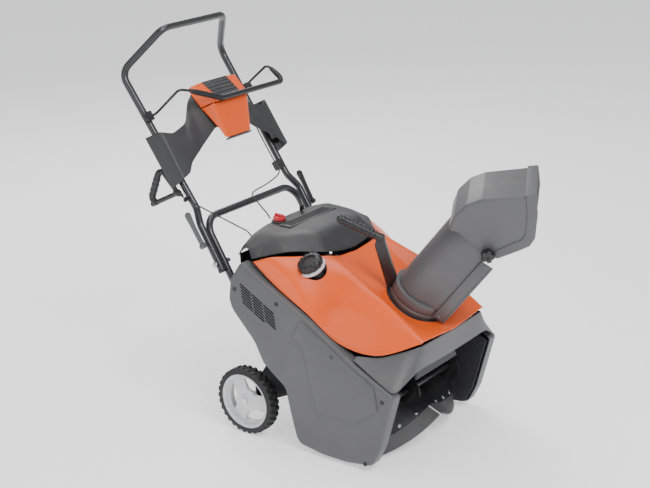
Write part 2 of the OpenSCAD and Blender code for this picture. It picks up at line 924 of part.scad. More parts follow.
module handle_fittings() {
    color("#2b2b2d")
        union() {
            // Clamp bolts that the cam levers pull on.
            for (side = [0, 1])
                mirror([side, 0, 0])
                    rod_x(leg_x + tube_r + 0.5, upper_x + tube_r + 8, leg_y(clamp_z), clamp_z, pivot_r);
            // Saddles that carry the bail's ends.
            for (side = [0, 1])
                mirror([side, 0, 0])
                    at_tubes()
                        difference() {
                            translate([bail_x - 24, bail_s - 14, tube_r - 2])
                                cube([26, 28, 18]);
                            translate([150, bail_s, bail_d])
                                rotate([0, 90, 0])
                                    cylinder(r = 4 + run_fit, h = 120);
                            tube_clear();
                        }
            // Rope eye on the right tube.
            translate(rope_eye)
                rotate([-66, 0, 0])
                    difference() {
                        cylinder(r = 9, h = 5, center = true);
                        cylinder(r = 5, h = 7, center = true);
                    }
            translate(rope_eye + [8.5, -2, -2])
                cube([6.2, 4, 4]);
            // Cable clip on the left tube.
            at_tubes()
                difference() {
                    translate([188, 22, -12])
                        cube([30, 30, 22]);
                    tube_clear();
                    translate([194, 10, -2.4])
                        rotate([-90, 0, 0])
                            cylinder(r = 3.6, h = 60);
                }
        }
}

// The left upper leg as a solid bar, to seat fittings on.
module tube_clear() {
    rotate([-tube_lean, 0, 0])
        translate([0, -jog_high.y, -jog_high.z])
            rod(jog_high, loop_low, tube_r);
}

console_lines = [
    [[250, 80, -15], [250, 250, -15]],
    [[248, 85, 40], [246, 240, 45]],
    [[215, 95, 48], [205, 222, 52]],
    [[190, 122, 52], [150, 237, 62]],
    [[120, 160, 62], [118, 292, 80]],
    [[60, 195, 85], [90, 318, 100]],
    [[50, 150, 92], [45, 325, 105]],
    [[0, 146, 92], [0, 328, 105]]];

module console() {
    color("#5a5a5c")
        at_tubes()
            union() {
                plate(across(console_lines), skin_wall);
                both_sides()
                    for (s = [104, 205])
                        difference() {
                            translate([leg_x + 6, s, -8])
                                cube([29, 16, 16]);
                            tube_clear();
                        }
            }
}

module console_front() {
    color("#ff5a00")
        at_tubes()
            plate([
                [[-58, 152, 94], [-50, 148, 96], [50, 148, 96], [58, 152, 94]],
                [[-90, 256, 91], [-80, 250, 133], [80, 250, 133], [90, 256, 91]]], skin_wall);
}

cap_lines = [
    [[93, 258, 93], [107, 322, 93]],
    [[82, 253, 136], [102, 326, 106]],
    [[40, 252, 139], [50, 329, 109]],
    [[0, 252, 140], [0, 330, 109]]];

module console_cap() {
    color("#38383a")
        at_tubes()
            plate(across(cap_lines), skin_wall);
}

// The bail's wire, from the right pivot over the console to the left pivot, in the tubes' frame.
bail_r = 4;
bail_grip_r = 8.5;
bail_wire = [[-246, bail_s, bail_d], [-200, bail_s, bail_d], [-200, 314, 150], [-168, 302, 153],
    [-60, 253, 155], [236, 250, 153], [205, 314, 150], [200, bail_s, bail_d], [246, bail_s, bail_d]];
bail_grip = [[-160, 298.5, 153.2], [-60, 253, 155], [236, 250, 153], [212, 299.5, 150.7]];

module bail() {
    color("#2e2e30")
        at_tubes()
            union() {
                swept(rounded(bail_wire, 14, 6), bail_r, 16);
                swept(rounded(bail_grip, 14, 6), bail_grip_r, 18);
            }
}

// Cam lever: swings outwards about an axis square to the leg.
lever_x = upper_x + tube_r + 8.5;
lever_lean = atan2(1, leg_lean);

module cam_lever_shape() {
    translate([0, leg_y(clamp_z), clamp_z])
        rotate([lever_lean, 0, 0])
            union() {
                translate([lever_x + 8, 0, -9])
                    cylinder(r = 8, h = 18);
                translate([lever_x + 4, 0, -8])
                    cube([8, 96, 16]);
                translate([lever_x + 4, 96, 0])
                    rotate([0, 90, 0])
                        cylinder(r = 12, h = 8);
            }
}

module cam_lever_left() {
    color("#1f1f21") cam_lever_shape();
}

module cam_lever_right() {
    color("#7c7c7e") mirror([1, 0, 0]) cam_lever_shape();
}

grip_root = [-240, 490, 686];
grip_top = [-240, 556, 752];
grip_bottom = [-240, 605, 628];
module starter_grip() {
    color("#1b1b1d")
        union() {
            rod(grip_root, grip_top, 7);
            rod(grip_root, grip_bottom, 7);
            rod(lerp(grip_top, grip_bottom, -0.08), lerp(grip_top, grip_bottom, 1.08), 10);
            rod(grip_root + [0, -12, -3], grip_root + [0, 6, 1.5], 11);
            rod(rope_eye + [0, 4, 1.8], grip_root, 3);
        }
}

// ---- chute ----
module at_chute() {
    at_ring()
        rotate(chute_turn)
            children();
}

hinge_y = -88;
hinge_z = 233;
chute_lean = 9;
strip_out = 4;
strip_y = -90;
strip_top = 212;
strip_low = -38;
deflect_in = 73.5;
deflect_out = deflect_in + chute_wall;
stud_end = deflect_out + move_gap + 14;

module chute_tube() {
    module section(r) {
        circle(r = r);
        translate([-r, -55])
            square([2 * r, 55]);
    }
    color("#7c7c7e")
        at_chute()
            difference() {
                union() {
                    rotate([chute_lean, 0, 0]) {
                        translate([0, 0, -60])
                            linear_extrude(chute_len - 12 + 60)
                                difference() {
                                    section(chute_r);
                                    section(chute_r - chute_wall);
                                    translate([-chute_r - 1, -chute_r - 1])
                                        square([2 * chute_r + 2, chute_r - 54]);
                                    translate([-chute_r + chute_wall, -60])
                                        square([2 * (chute_r - chute_wall), 60]);
                                }
                        both_sides()
                            translate([chute_r, strip_y, -60])
                                cube([strip_out, -52 - strip_y, strip_top + 60]);
                        both_sides()
                            translate([chute_r - chute_wall, -56, -60])
                                cube([chute_wall + 1, 4, strip_top + 60]);
                    }
                    both_sides()
                        translate([chute_r - chute_wall, hinge_y, hinge_z])
                            rotate([0, 90, 0]) {
                                cylinder(r = 15, h = chute_wall);
                                cylinder(r = pivot_r, h = stud_end - chute_r + chute_wall);
                                translate([0, 0, -3])
                                    cylinder(r = 7, h = 4);
                            }
                }
                translate([0, 0, strip_low - 100])
                    cylinder(r = 200, h = 100);
                translate([0, 0, strip_low - 1])
                    cylinder(r = ring_out + 0.8, h = ring_top - strip_low + 1);
            }
}

module chute_ring() {
    color("#7c7c7e")
        at_chute()
            difference() {
                translate([0, 0, ring_low])
                    cylinder(r = ring_out, h = ring_top - ring_low);
                translate([0, 0, ring_low - 1])
                    cylinder(r = ring_in, h = ring_top - ring_low - 3);
                translate([0, 0, ring_low - 1])
                    cylinder(r = chute_r - chute_wall, h = ring_top - ring_low + 2);
            }
}

module chute_handle() {
    color("#3a3a3c")
        at_chute()
            union() {
                difference() {
                    along_x(-10, 10)
                        polygon([[80, -46], [96, -46], [182, 62], [188, 96], [168, 98], [160, 84], [80, -8]]);
                    translate([0, 0, ring_low - 20])
                        cylinder(r = ring_out, h = 120);
                }
                rod([0, 176, 88.5], [0, 310, 91], 11);
                for (k = [0:8])
                    rod([0, 196 + k * 12.5, 88.9 + k * 0.23], [0, 203 + k * 12.5, 89 + k * 0.23], 13.5);
            }
}

deflect_line = [[38, 249], [44, 293], [30, 343], [3, 376], [-114, 459], [-145, 410], [-174, 340],
    [-173, 311], [-158, 288], [-116, 232], [-88, 218], [-71, 233], [-33, 240], [11, 256]];
deflect_core = [[35, 200], [35, 249], [41, 293], [27.3, 341.7], [1.3, 373.6], [-232.7, 539.6], [-240, 200]];

module deflector() {
    color("#7c7c7e")
        at_chute()
            difference() {
                along_x(-deflect_out, deflect_out)
                    polygon(deflect_line);
                along_x(-deflect_in, deflect_in)
                    polygon(deflect_core);
                rod_x(-100, 100, hinge_y, hinge_z, pivot_r + run_fit);
            }
}

module knob_shape() {
    knob_low = deflect_out + move_gap;
    translate([0, hinge_y, hinge_z])
        rotate([0, 90, 0])
            difference() {
                union() {
                    translate([0, 0, knob_low])
                        cylinder(r = 14, h = 20);
                    for (k = [0:4])
                        rotate(k * 72)
                            translate([13, 0, knob_low + 3])
                                cylinder(r = 6, h = 15);
                }
                translate([0, 0, knob_low - 1])
                    cylinder(r = pivot_r + run_fit, h = stud_end - knob_low + 1.5);
            }
}

module deflector_knob_left() {
    color("#1c1c1e") at_chute() knob_shape();
}

module deflector_knob_right() {
    color("#1c1c1e") at_chute() mirror([1, 0, 0]) knob_shape();
}

// ---- mouldings ----
hood_lines = [
    [[163, -305, 372], [230, -205, 336], [258, -95, panel_top(-95) + 7], [258, 15, panel_top(15) + 7],
        [258, 115, panel_top(115) + 7], [258, 201, 536]],
    [[160, -306, 374], [182, -185, 424], [205, -75, 452], [238, 0, 430], [240, 75, 500], [232, 155, 552]],
    [[156, -307, 376], [152, -205, 445], [146, -125, 488], [138, -55, 519], [128, 0, 538], [120, 32, 547]],
    [[100, -309, 374], [98, -215, 404], [96, -135, 448], [92, -65, 486], [86, -5, 520], [80, 30, 535]],
    [[0, -310, 366], [0, -220, 390], [0, -140, 438], [0, -70, 478], [0, -10, 512], [0, 27, 530]]];
hood_hole = 92;

module hood() {
    color("#ff5a00")
        difference() {
            plate(across([for (l = hood_lines) spline(l, 3)]), skin_wall);
            at_ring()
                translate([0, 0, -100])
                    cylinder(r = hood_hole, h = 160);
            at_cap()
                translate([0, 0, -60])
                    cylinder(r = cap_r + 5.5, h = 90);
        }
}

nose_lines = [
    [[266, -150, 322], [252, -150, 330]],
    [[268, -225, 281], [226, -208, 328]],
    [[268, -285, 250], [190, -262, 346]],
    [[182, -305, 297], [160, -303, 362]],
    [[90, -306, 295], [90, -305, 362]],
    [[0, -306, 294], [0, -306, 360]]];

module nose() {
    color("#7c7c7e")
        plate(across(nose_lines), skin_wall);
}

cover_lines = [
    [[250, 212, 540], [236, 232, 560], [225, 262, 565], [222, 285, 530]],
    [[196, 118, 566], [165, 165, 590], [170, 262, 592], [180, 305, 530]],
    [[118, 42, 556], [105, 92, 600], [110, 268, 600], [110, 312, 530]],
    [[60, 34, 545], [60, 86, 601], [60, 270, 601], [60, 314, 530]],
    [[0, 32, 540], [0, 85, 602], [0, 270, 602], [0, 315, 530]]];
choke_at = [-80, 243];
key_at = [30, 245];
panel_z = 604;

module engine_cover() {
    color("#4a4a4c")
        difference() {
            plate(across(cover_lines), skin_wall);
            swept(spline(rope_route, 4), rope_r + 3, 12);
            translate([choke_at.x, choke_at.y, 500])
                cylinder(r = 4.3, h = 200);
            translate([key_at.x, key_at.y, 500])
                cylinder(r = 3.3, h = 200);
        }
}

rear_line = [[299.6, 525], [296, 470], [290, 400], [255, 330], [235, 290], [235, 222]];

module rear_cover() {
    color("#3c3c3e")
        along_x(-flange_x, flange_x)
            polygon(concat(rear_line, [for (i = [5:-1:0]) [rear_line[i][0] - skin_wall, rear_line[i][1]]]));
}

module choke_knob() {
    color("#d81f35")
        translate([choke_at.x, choke_at.y, 0])
            union() {
                translate([0, 0, 590])
                    cylinder(r = 4, h = 20);
                translate([0, 0, panel_z + move_gap])
                    cylinder(r = 18.5, h = 10);
                translate([-4, -17, panel_z + 8])
                    cube([8, 34, 12]);
            }
}

module ignition_key() {
    color("#1b1b1d")
        translate([key_at.x, key_at.y, 0])
            union() {
                translate([0, 0, 585])
                    cylinder(r = 3, h = 25);
                translate([-9, -2.5, panel_z + move_gap])
                    cube([18, 5, 18]);
            }
}

auger_housing();
end_plate_right();
end_plate_left();
discharge_throat();
chute_base();
scraper_bar();
engine_deck();
side_panel_right();
side_panel_left();
nose();
hood();
engine_cover();
rear_cover();
lower_handle();
engine_block();
spark_plug();
fuel_tank();
muffler();
carburettor();
recoil_housing();
wheel_axle();
rotor_bearings();
starter_rope();
panel_screws();
frame_bolts();
drive_belt();
rotor_shaft();
rotor_flights();
rubber_paddles();
rotor_bolts();
rotor_pulley();
crankshaft();
crank_pulley();
flywheel();
idler_arm();
idler_pulley();
chute_tube();
chute_ring();
chute_handle();
deflector();
deflector_knob_right();
deflector_knob_left();
upper_handle();
console();
console_front();
console_cap();
handle_fittings();
control_cable();
bail();
cam_lever_right();
cam_lever_left();
starter_grip();
fuel_cap();
ignition_key();
choke_knob();
tyre_right();
rim_right();
tyre_left();
rim_left();
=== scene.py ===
"""Looks of a single-stage snow blower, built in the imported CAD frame.

The frame is in metres, +Z up, with the intake towards -Y. Shapes are set out in millimetres.
"""

import json
import logging
import math
from dataclasses import dataclass, field
from enum import Enum

import bmesh
import bpy
import numpy as np
from mathutils import Matrix, Vector


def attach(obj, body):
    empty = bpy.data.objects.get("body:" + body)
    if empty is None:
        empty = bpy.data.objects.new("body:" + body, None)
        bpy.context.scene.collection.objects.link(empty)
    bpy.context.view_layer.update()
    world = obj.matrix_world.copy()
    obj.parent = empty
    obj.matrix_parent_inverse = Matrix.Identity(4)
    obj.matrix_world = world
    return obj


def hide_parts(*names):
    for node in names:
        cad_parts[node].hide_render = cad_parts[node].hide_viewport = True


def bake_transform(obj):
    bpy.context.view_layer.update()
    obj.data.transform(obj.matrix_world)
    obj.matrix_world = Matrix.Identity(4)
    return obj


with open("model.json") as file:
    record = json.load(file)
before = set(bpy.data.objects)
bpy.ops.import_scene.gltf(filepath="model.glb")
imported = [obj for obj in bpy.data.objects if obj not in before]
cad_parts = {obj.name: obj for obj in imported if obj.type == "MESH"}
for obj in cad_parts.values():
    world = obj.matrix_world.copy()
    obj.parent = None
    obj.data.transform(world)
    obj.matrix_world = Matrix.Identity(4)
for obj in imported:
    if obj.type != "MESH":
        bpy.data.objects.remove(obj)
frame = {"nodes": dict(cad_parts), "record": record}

LOG = logging.getLogger("snow_blower")
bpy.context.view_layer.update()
MM = 0.001
Array = np.ndarray
Obj = bpy.types.Object
DUST_COLOR = (0.30, 0.28, 0.25, 1.0)
SWEEP_HINT = np.array([0.05, 1.0, 0.03])  # a direction that no bar runs along
TURN_HINT = np.array([0.31, 0.2, 0.93])  # a direction that no turned piece's axis has
SKIN_ANGLE = 50.0  # the least angle, in degrees, that a thin skin's edge is rounded at
CREASE = 36.0  # the angle, in degrees, that shading stays sharp above


# --------------------------------------------------------------------------- node graphs
class Sock:
    """A shader socket that takes part in arithmetic."""

    def __init__(self, graph: "Graph", out: object) -> None:
        """Keeps the graph and the socket or plain number."""
        self.graph, self.out = graph, out

    def _op(self, kind: str, other: object, swap: bool = False) -> "Sock":
        """Adds one math node.

        Args:
            kind: the math operation.
            other: a number or socket.
            swap: whether other comes first.

        Returns:
            The result's socket.
        """
        pair = (other, self) if swap else (self, other)
        return self.graph.add("ShaderNodeMath", {0: pair[0], 1: pair[1]}, operation=kind)

    def __add__(self, o: object) -> "Sock":
        """Sum."""
        return self._op("ADD", o)

    def __radd__(self, o: object) -> "Sock":
        """Sum, swapped."""
        return self._op("ADD", o, True)

    def __sub__(self, o: object) -> "Sock":
        """Difference."""
        return self._op("SUBTRACT", o)

    def __rsub__(self, o: object) -> "Sock":
        """Difference, swapped."""
        return self._op("SUBTRACT", o, True)

    def __mul__(self, o: object) -> "Sock":
        """Product."""
        return self._op("MULTIPLY", o)

    def __rmul__(self, o: object) -> "Sock":
        """Product, swapped."""
        return self._op("MULTIPLY", o, True)

    def ramp(self, low: float, high: float, a: float = 0.0, b: float = 1.0) -> "Sock":
        """Maps low..high to a..b, clamped and smooth.

        Args:
            low: input at the start.
            high: input at the end.
            a: output at the start.
            b: output at the end.

        Returns:
            The mapped socket.
        """
        return self.graph.add("ShaderNodeMapRange", {0: self, 1: low, 2: high, 3: a, 4: b},
                              interpolation_type="SMOOTHSTEP")


class Graph:
    """Builds one material's node tree."""

    def __init__(self, name: str) -> None:
        """Starts an empty tree with its output."""
        self.material = bpy.data.materials.new(name)
        self.material.use_nodes = True
        self.tree = self.material.node_tree
        self.tree.nodes.clear()
        self.output = self.tree.nodes.new("ShaderNodeOutputMaterial")

    def add(self, kind: str, inputs: dict[object, object] | None = None, out: object = 0,
            **settings: object) -> Sock:
        """Adds any node.

        Args:
            kind: the node's type name.
            inputs: input name or index to a value or socket.
            out: which output to return.
            settings: node properties.

        Returns:
            The chosen output's socket.
        """
        node = self.tree.nodes.new(kind)
        for key, value in settings.items():
            setattr(node, key, value)
        for key, value in (inputs or {}).items():
            if isinstance(value, Sock):
                self.tree.links.new(value.out, node.inputs[key])
            else:
                node.inputs[key].default_value = value
        return Sock(self, node.outputs[out])

    def place(self, stretch: tuple[float, float, float] = (1.0, 1.0, 1.0)) -> Sock:
        """Object coordinates, stretched along each axis."""
        coords = self.add("ShaderNodeTexCoord", out="Object")
        return self.add("ShaderNodeMapping", {"Vector": coords, "Scale": stretch})

    def noise(self, scale: float, detail: float = 4.0, rough: float = 0.55, warp: float = 0.0,
              stretch: tuple[float, float, float] = (1.0, 1.0, 1.0)) -> Sock:
        """Fractal noise over object coordinates.

        Args:
            scale: cells to a metre.
            detail: octaves.
            rough: share kept by each octave.
            warp: distortion.
            stretch: scale along each axis.

        Returns:
            The noise value's socket.
        """
        return self.add("ShaderNodeTexNoise", {"Vector": self.place(stretch), "Scale": scale,
                                               "Detail": detail,
                                               "Roughness": rough, "Distortion": warp})

    def cells(self, scale: float) -> Sock:
        """Distance to the nearest Voronoi cell's middle, over object coordinates."""
        return self.add("ShaderNodeTexVoronoi", {"Vector": self.place(), "Scale": scale},
                        "Distance")

    def mix(self, amount: object, a: object, b: object) -> Sock:
        """Blends two colours by an amount."""
        return self.add("ShaderNodeMix", {0: amount, 6: a, 7: b}, out=2, data_type="RGBA")

    def facing_up(self) -> Sock:
        """How far a surface faces upwards, from 0 to 1."""
        normal = self.add("ShaderNodeNewGeometry", out="Normal")
        return self.add("ShaderNodeSeparateXYZ", {0: normal}, out="Z").ramp(0.2, 0.95)

    def edges(self) -> Sock:
        """A mask that is 1 on convex edges."""
        return self.add("ShaderNodeNewGeometry", out="Pointiness").ramp(0.52, 0.60)


class Grain(Enum):
    """Kinds of surface relief."""

    MOULDED = "moulded"
    PEEL = "peel"
    CAST = "cast"
    BRUSHED = "brushed"
    RUBBER = "rubber"
    WOVEN = "woven"


@dataclass(frozen=True)
class Finish:
    """One procedural finish.

    Colours are linear; grain_scale is in cells to a metre, relief in millimetres.
    """

    name: str
    color: tuple[float, float, float]
    roughness: float
    grain: Grain = Grain.MOULDED
    metallic: float = 0.0
    coat: float = 0.0
    grain_scale: float = 900.0
    relief: float = 0.05
    wear: float = 0.25
    dust: float = 0.12
    slot: str = ""

    def relief_of(self, g: Graph) -> Sock:
        """The height field of the grain.

        Args:
            g: the graph to build in.

        Returns:
            The height's socket.
        """
        if self.grain is Grain.MOULDED:
            return g.cells(self.grain_scale) * 0.6 + g.noise(self.grain_scale * 0.6, 2.0) * 0.6
        if self.grain is Grain.PEEL:
            return g.noise(self.grain_scale * 0.35, 1.0, 0.4)
        if self.grain is Grain.CAST:
            return g.noise(self.grain_scale * 0.5, 5.0,
                           0.7) + g.cells(self.grain_scale * 0.5) * 0.5
        if self.grain is Grain.BRUSHED:
            return g.noise(self.grain_scale, 3.0, 0.6, 0.0, (0.04, 1.0, 1.0))
        if self.grain is Grain.RUBBER:
            return g.noise(self.grain_scale * 0.4, 4.0,
                           0.6) + g.cells(self.grain_scale * 1.3) * 0.3
        wave = g.add("ShaderNodeTexWave", {"Vector": g.place(), "Scale": self.grain_scale * 0.25,
                                           "Distortion": 1.5},
                     out=1, bands_direction="DIAGONAL")
        return wave + g.noise(self.grain_scale, 2.0) * 0.3

    def build(self) -> bpy.types.Material:
        """Makes the material.

        Returns:
            The finished material.
        """
        g = Graph(self.name)
        base = (*self.color, 1.0)
        shade = tuple(c * 0.82 for c in self.color) + (1.0,)
        light = tuple(min(1.0, c * 1.25 + 0.03) for c in self.color) + (1.0,)
        cloud = g.noise(7.0, 5.0, 0.6, 0.6)
        fine = g.noise(160.0, 4.0, 0.6)
        color = g.mix(cloud.ramp(0.3, 0.7, 0.0, 0.6), base, shade)
        scuff = g.noise(60.0, 6.0, 0.75, 1.2, (1.0, 1.0, 0.25)).ramp(0.56, 0.72)
        worn = g.edges() * fine.ramp(0.35, 0.65) * self.wear
        color = g.mix(worn, color, light)
        dusty = g.facing_up() * g.noise(18.0, 6.0, 0.7, 0.8).ramp(0.42, 0.8) * self.dust
        color = g.mix(dusty, color, DUST_COLOR)
        rough = (cloud * 0.12 + fine * 0.08 + scuff * 0.14 * self.wear
                 + dusty * 0.5) + (self.roughness - 0.10)
        height = self.relief_of(g) + scuff * (-0.3 * self.wear)
        normal = g.add("ShaderNodeBump", {"Height": height, "Distance": self.relief * MM,
                                          "Strength": 0.8})
        values = {"Base Color": color, "Roughness": rough.ramp(0.02, 1.0, 0.02, 1.0)
                  if self.metallic else rough,
                  "Metallic": self.metallic, "Coat Weight": self.coat, "Coat Roughness": 0.08,
                  "Normal": normal}
        shader = g.add("ShaderNodeBsdfPrincipled", values)
        g.tree.links.new(shader.out, g.output.inputs["Surface"])
        return g.material


FINISHES: dict[str, Finish] = {f.name: f for f in (
    Finish("housing_black", (0.020, 0.020, 0.022), 0.52, grain_scale=700, relief=0.12, wear=0.5,
           dust=0.2),
    Finish("panel_grey", (0.088, 0.088, 0.091), 0.46, relief=0.10, wear=0.3),
    Finish("orange", (0.88, 0.098, 0.0), 0.34, Grain.PEEL, coat=0.2, relief=0.02, wear=0.12,
           dust=0.02),
    Finish("cover_grey", (0.030, 0.030, 0.032), 0.48, relief=0.10, wear=0.3),
    Finish("tube_grey", (0.030, 0.030, 0.032), 0.36, Grain.PEEL, metallic=0.1, coat=0.2,
           grain_scale=2600,
           relief=0.03, wear=0.35, dust=0.05),
    Finish("black_plastic", (0.013, 0.013, 0.014), 0.42, relief=0.06, wear=0.3),
    Finish("red_plastic", (0.62, 0.008, 0.024), 0.25, Grain.PEEL, coat=0.4, relief=0.03, wear=0.1,
           dust=0.03),
    Finish("tyre", (0.018, 0.018, 0.019), 0.72, Grain.RUBBER, grain_scale=1100, relief=0.16,
           wear=0.5, dust=0.3),
    Finish("rim", (0.66, 0.66, 0.67), 0.38, Grain.PEEL, relief=0.04, wear=0.2, dust=0.12),
    Finish("bright_steel", (0.56, 0.56, 0.57), 0.30, Grain.BRUSHED, metallic=1.0, relief=0.02,
           wear=0.2),
    Finish("dark_steel", (0.022, 0.022, 0.024), 0.36, Grain.CAST, metallic=0.3, relief=0.05,
           wear=0.8, dust=0.15),
    Finish("paddle_rubber", (0.060, 0.060, 0.062), 0.62, Grain.RUBBER, relief=0.14, wear=0.7,
           dust=0.2),
    Finish("engine_alloy", (0.42, 0.42, 0.43), 0.42, Grain.CAST, metallic=0.9, relief=0.15,
           wear=0.3),
    Finish("engine_iron", (0.13, 0.12, 0.115), 0.6, Grain.CAST, metallic=0.7, relief=0.2,
           wear=0.4),
    Finish("bronze", (0.48, 0.31, 0.12), 0.36, Grain.CAST, metallic=1.0, relief=0.06),
    Finish("ceramic", (0.80, 0.78, 0.72), 0.15, Grain.PEEL, coat=0.6, relief=0.01, wear=0.0,
           dust=0.03),
    Finish("belt_rubber", (0.013, 0.013, 0.013), 0.6, Grain.RUBBER, relief=0.1),
    Finish("cord", (0.016, 0.016, 0.017), 0.66, Grain.WOVEN, grain_scale=2400, relief=0.25),
)}
MATERIALS: dict[str, bpy.types.Material] = {name: f.build() for name, f in FINISHES.items()}


# --------------------------------------------------------------------------- geometry helpers
def vec(*p: float) -> Array:
    """A point given in millimetres, as an array."""
    return np.array(p, float)


def unit(v: Array) -> Array:
    """Vectors of length one along v's last axis."""
    return v / np.maximum(np.linalg.norm(v, axis=-1, keepdims=True), 1e-12)


def turn(axis: str, degrees: float) -> Array:
    """A rotation matrix about X or Z."""
    c, s = math.cos(math.radians(degrees)), math.sin(math.radians(degrees))
    if axis == "x":
        return np.array([[1, 0, 0], [0, c, -s], [0, s, c]])
    return np.array([[c, -s, 0], [s, c, 0], [0, 0, 1]])


@dataclass(frozen=True)
class Place:
    """A rigid frame: points go from local to part millimetres."""

    origin: tuple[float, float, float] = (0.0, 0.0, 0.0)
    basis: Array = field(default_factory=lambda: np.eye(3))

    def put(self, p: Array) -> Array:
        """Local points as part points."""
        return p @ self.basis.T + np.array(self.origin)


RING_AT = (0.0, -208.0, 467.0)
RING_TILT, CHUTE_YAW, CHUTE_LEAN = 30.0, 30.0, 9.0
RING = Place(RING_AT, turn("x", RING_TILT))
CHUTE = Place(RING_AT, RING.basis @ turn("z", CHUTE_YAW))
CHUTE_LEANED = Place(RING_AT, CHUTE.basis @ turn("x", CHUTE_LEAN))
TUBE_LOW, TUBE_HIGH = (443.0, 641.0), (706.0, 1013.0)
TUBE_LEAN = math.degrees(math.atan2(TUBE_HIGH[1] - TUBE_LOW[1], TUBE_HIGH[0] - TUBE_LOW[0]))
TUBES = Place((0.0, *TUBE_LOW), turn("x", TUBE_LEAN))
HERE = Place()


def mesh_object(name: str, points: Array, faces: list | Array) -> Obj:
    """Makes a smooth object from points in millimetres.

    Args:
        name: the piece's name.
        points: (n, 3) array.
        faces: index rows.

    Returns:
        The linked object.
    """
    mesh = bpy.data.meshes.new(name)
    rows = faces.tolist() if isinstance(faces, np.ndarray) else faces
    mesh.from_pydata((points * MM).tolist(), [], rows)
    mesh.validate()
    mesh.polygons.foreach_set("use_smooth", np.ones(len(mesh.polygons), bool))
    mesh.update()
    obj = bpy.data.objects.new(name, mesh)
    bpy.context.scene.collection.objects.link(obj)
    return obj


def grid_faces(n: int, m: int, wrap_n: bool = False, wrap_m: bool = False) -> Array:
    """Quads over an n by m grid of points.

    Args:
        n: rows.
        m: columns.
        wrap_n: join the last row to the first.
        wrap_m: join the last column to the first.

    Returns:
        (k, 4) array of indices.
    """
    rows, columns = np.arange(n if wrap_n else n - 1), np.arange(m if wrap_m else m - 1)
    i, j = np.meshgrid(rows, columns, indexing="ij")
    i, j = i.ravel(), j.ravel()
    i2, j2 = (i + 1) % n, (j + 1) % m
    return np.stack([i * m + j, i * m + j2, i2 * m + j2, i2 * m + j], 1)


def grid_object(name: str, p: Array, wrap_n: bool = False, wrap_m: bool = False,
                ends: bool = False) -> Obj:
    """An object over a grid of points.

    Args:
        name: the piece's name.
        p: (n, m, 3) points.
        wrap_n: closed along rows.
        wrap_m: closed along columns.
        ends: cap the first and last rows.

    Returns:
        The object.
    """
    n, m = p.shape[:2]
    faces = grid_faces(n, m, wrap_n, wrap_m).tolist()
    if ends:
        faces += [list(range(m))[::-1], [(n - 1) * m + k for k in range(m)]]
    return mesh_object(name, p.reshape(-1, 3), faces)


def tidy_normals(obj: Obj) -> Obj:
    """Points all faces outwards."""
    b = bmesh.new()
    b.from_mesh(obj.data)
    bmesh.ops.recalc_face_normals(b, faces=b.faces)
    b.to_mesh(obj.data)
    b.free()
    return obj


def tidy_outward(obj: Obj, place: Place) -> Obj:
    """Turns a skin's faces away from its frame's axis."""
    f = obj.data.polygons[len(obj.data.polygons) // 2]
    local = (np.array(f.center) / MM - np.array(place.origin)) @ place.basis
    normal = np.array(f.normal) @ place.basis
    if local[0] * normal[0] + local[1] * normal[1] < 0:
        obj.data.flip_normals()
    return obj


def modify(obj: Obj, kind: str, **settings: object) -> Obj:
    """Adds a modifier.

    Args:
        obj: the object.
        kind: the modifier type.
        settings: its properties.

    Returns:
        The same object.
    """
    mod = obj.modifiers.new(kind.title(), kind)
    for key, value in settings.items():
        setattr(mod, key, value)
    return obj


def bevel(obj: Obj, width: float, segments: int = 3,
          angle: float = 30.0) -> Obj:
    """Rounds sharp edges by width millimetres."""
    return modify(obj, "BEVEL", width=width * MM, segments=segments, limit_method="ANGLE",
                  angle_limit=math.radians(angle), harden_normals=True, use_clamp_overlap=True)


def thicken(obj: Obj, wall: float, offset: float = -1.0) -> Obj:
    """Gives a skin a wall, in millimetres, inwards by default."""
    return modify(obj, "SOLIDIFY", thickness=wall * MM, offset=offset, use_even_offset=True)


def bake(obj: Obj) -> Obj:
    """Applies all modifiers."""
    bpy.context.view_layer.update()
    deps = bpy.context.evaluated_depsgraph_get()
    mesh = bpy.data.meshes.new_from_object(obj.evaluated_get(deps), depsgraph=deps)
    obj.modifiers.clear()
    obj.data = mesh
    return obj


def cut(obj: Obj, *cutters: Obj) -> Obj:
    """Subtracts cutters and removes them.

    Args:
        obj: the object to cut.
        cutters: closed solids.

    Returns:
        The cut object.
    """
    for c in cutters:
        bake(c)
        modify(obj, "BOOLEAN", operation="DIFFERENCE", object=c, solver="EXACT")
        bake(obj)
        bpy.data.objects.remove(c)
    return obj


def join(name: str, parts: list[Obj]) -> Obj:
    """Merges objects into one, with modifiers applied.

    Args:
        name: the new name.
        parts: the objects.

    Returns:
        The merged object.
    """
    points, faces, smooth, at = [], [], [], 0
    for o in parts:
        bake(o)
        m = o.data
        co = np.empty(len(m.vertices) * 3, np.float32)
        m.vertices.foreach_get("co", co)
        points.append(co.reshape(-1, 3))
        faces += [[v + at for v in f.vertices] for f in m.polygons]
        flags = np.empty(len(m.polygons), bool)
        m.polygons.foreach_get("use_smooth", flags)
        smooth.append(flags)
        at += len(m.vertices)
    out = mesh_object(name, np.concatenate(points) / MM, faces)
    out.data.polygons.foreach_set("use_smooth", np.concatenate(smooth))
    for o in parts:
        bpy.data.objects.remove(o)
    return out


def soft_edges(obj: Obj, angle: float = 32.0) -> Obj:
    """Smooth shading with sharp edges kept above an angle."""
    obj.data.polygons.foreach_set("use_smooth", np.ones(len(obj.data.polygons), bool))
    obj.data.set_sharp_from_angle(angle=math.radians(angle))
    return obj


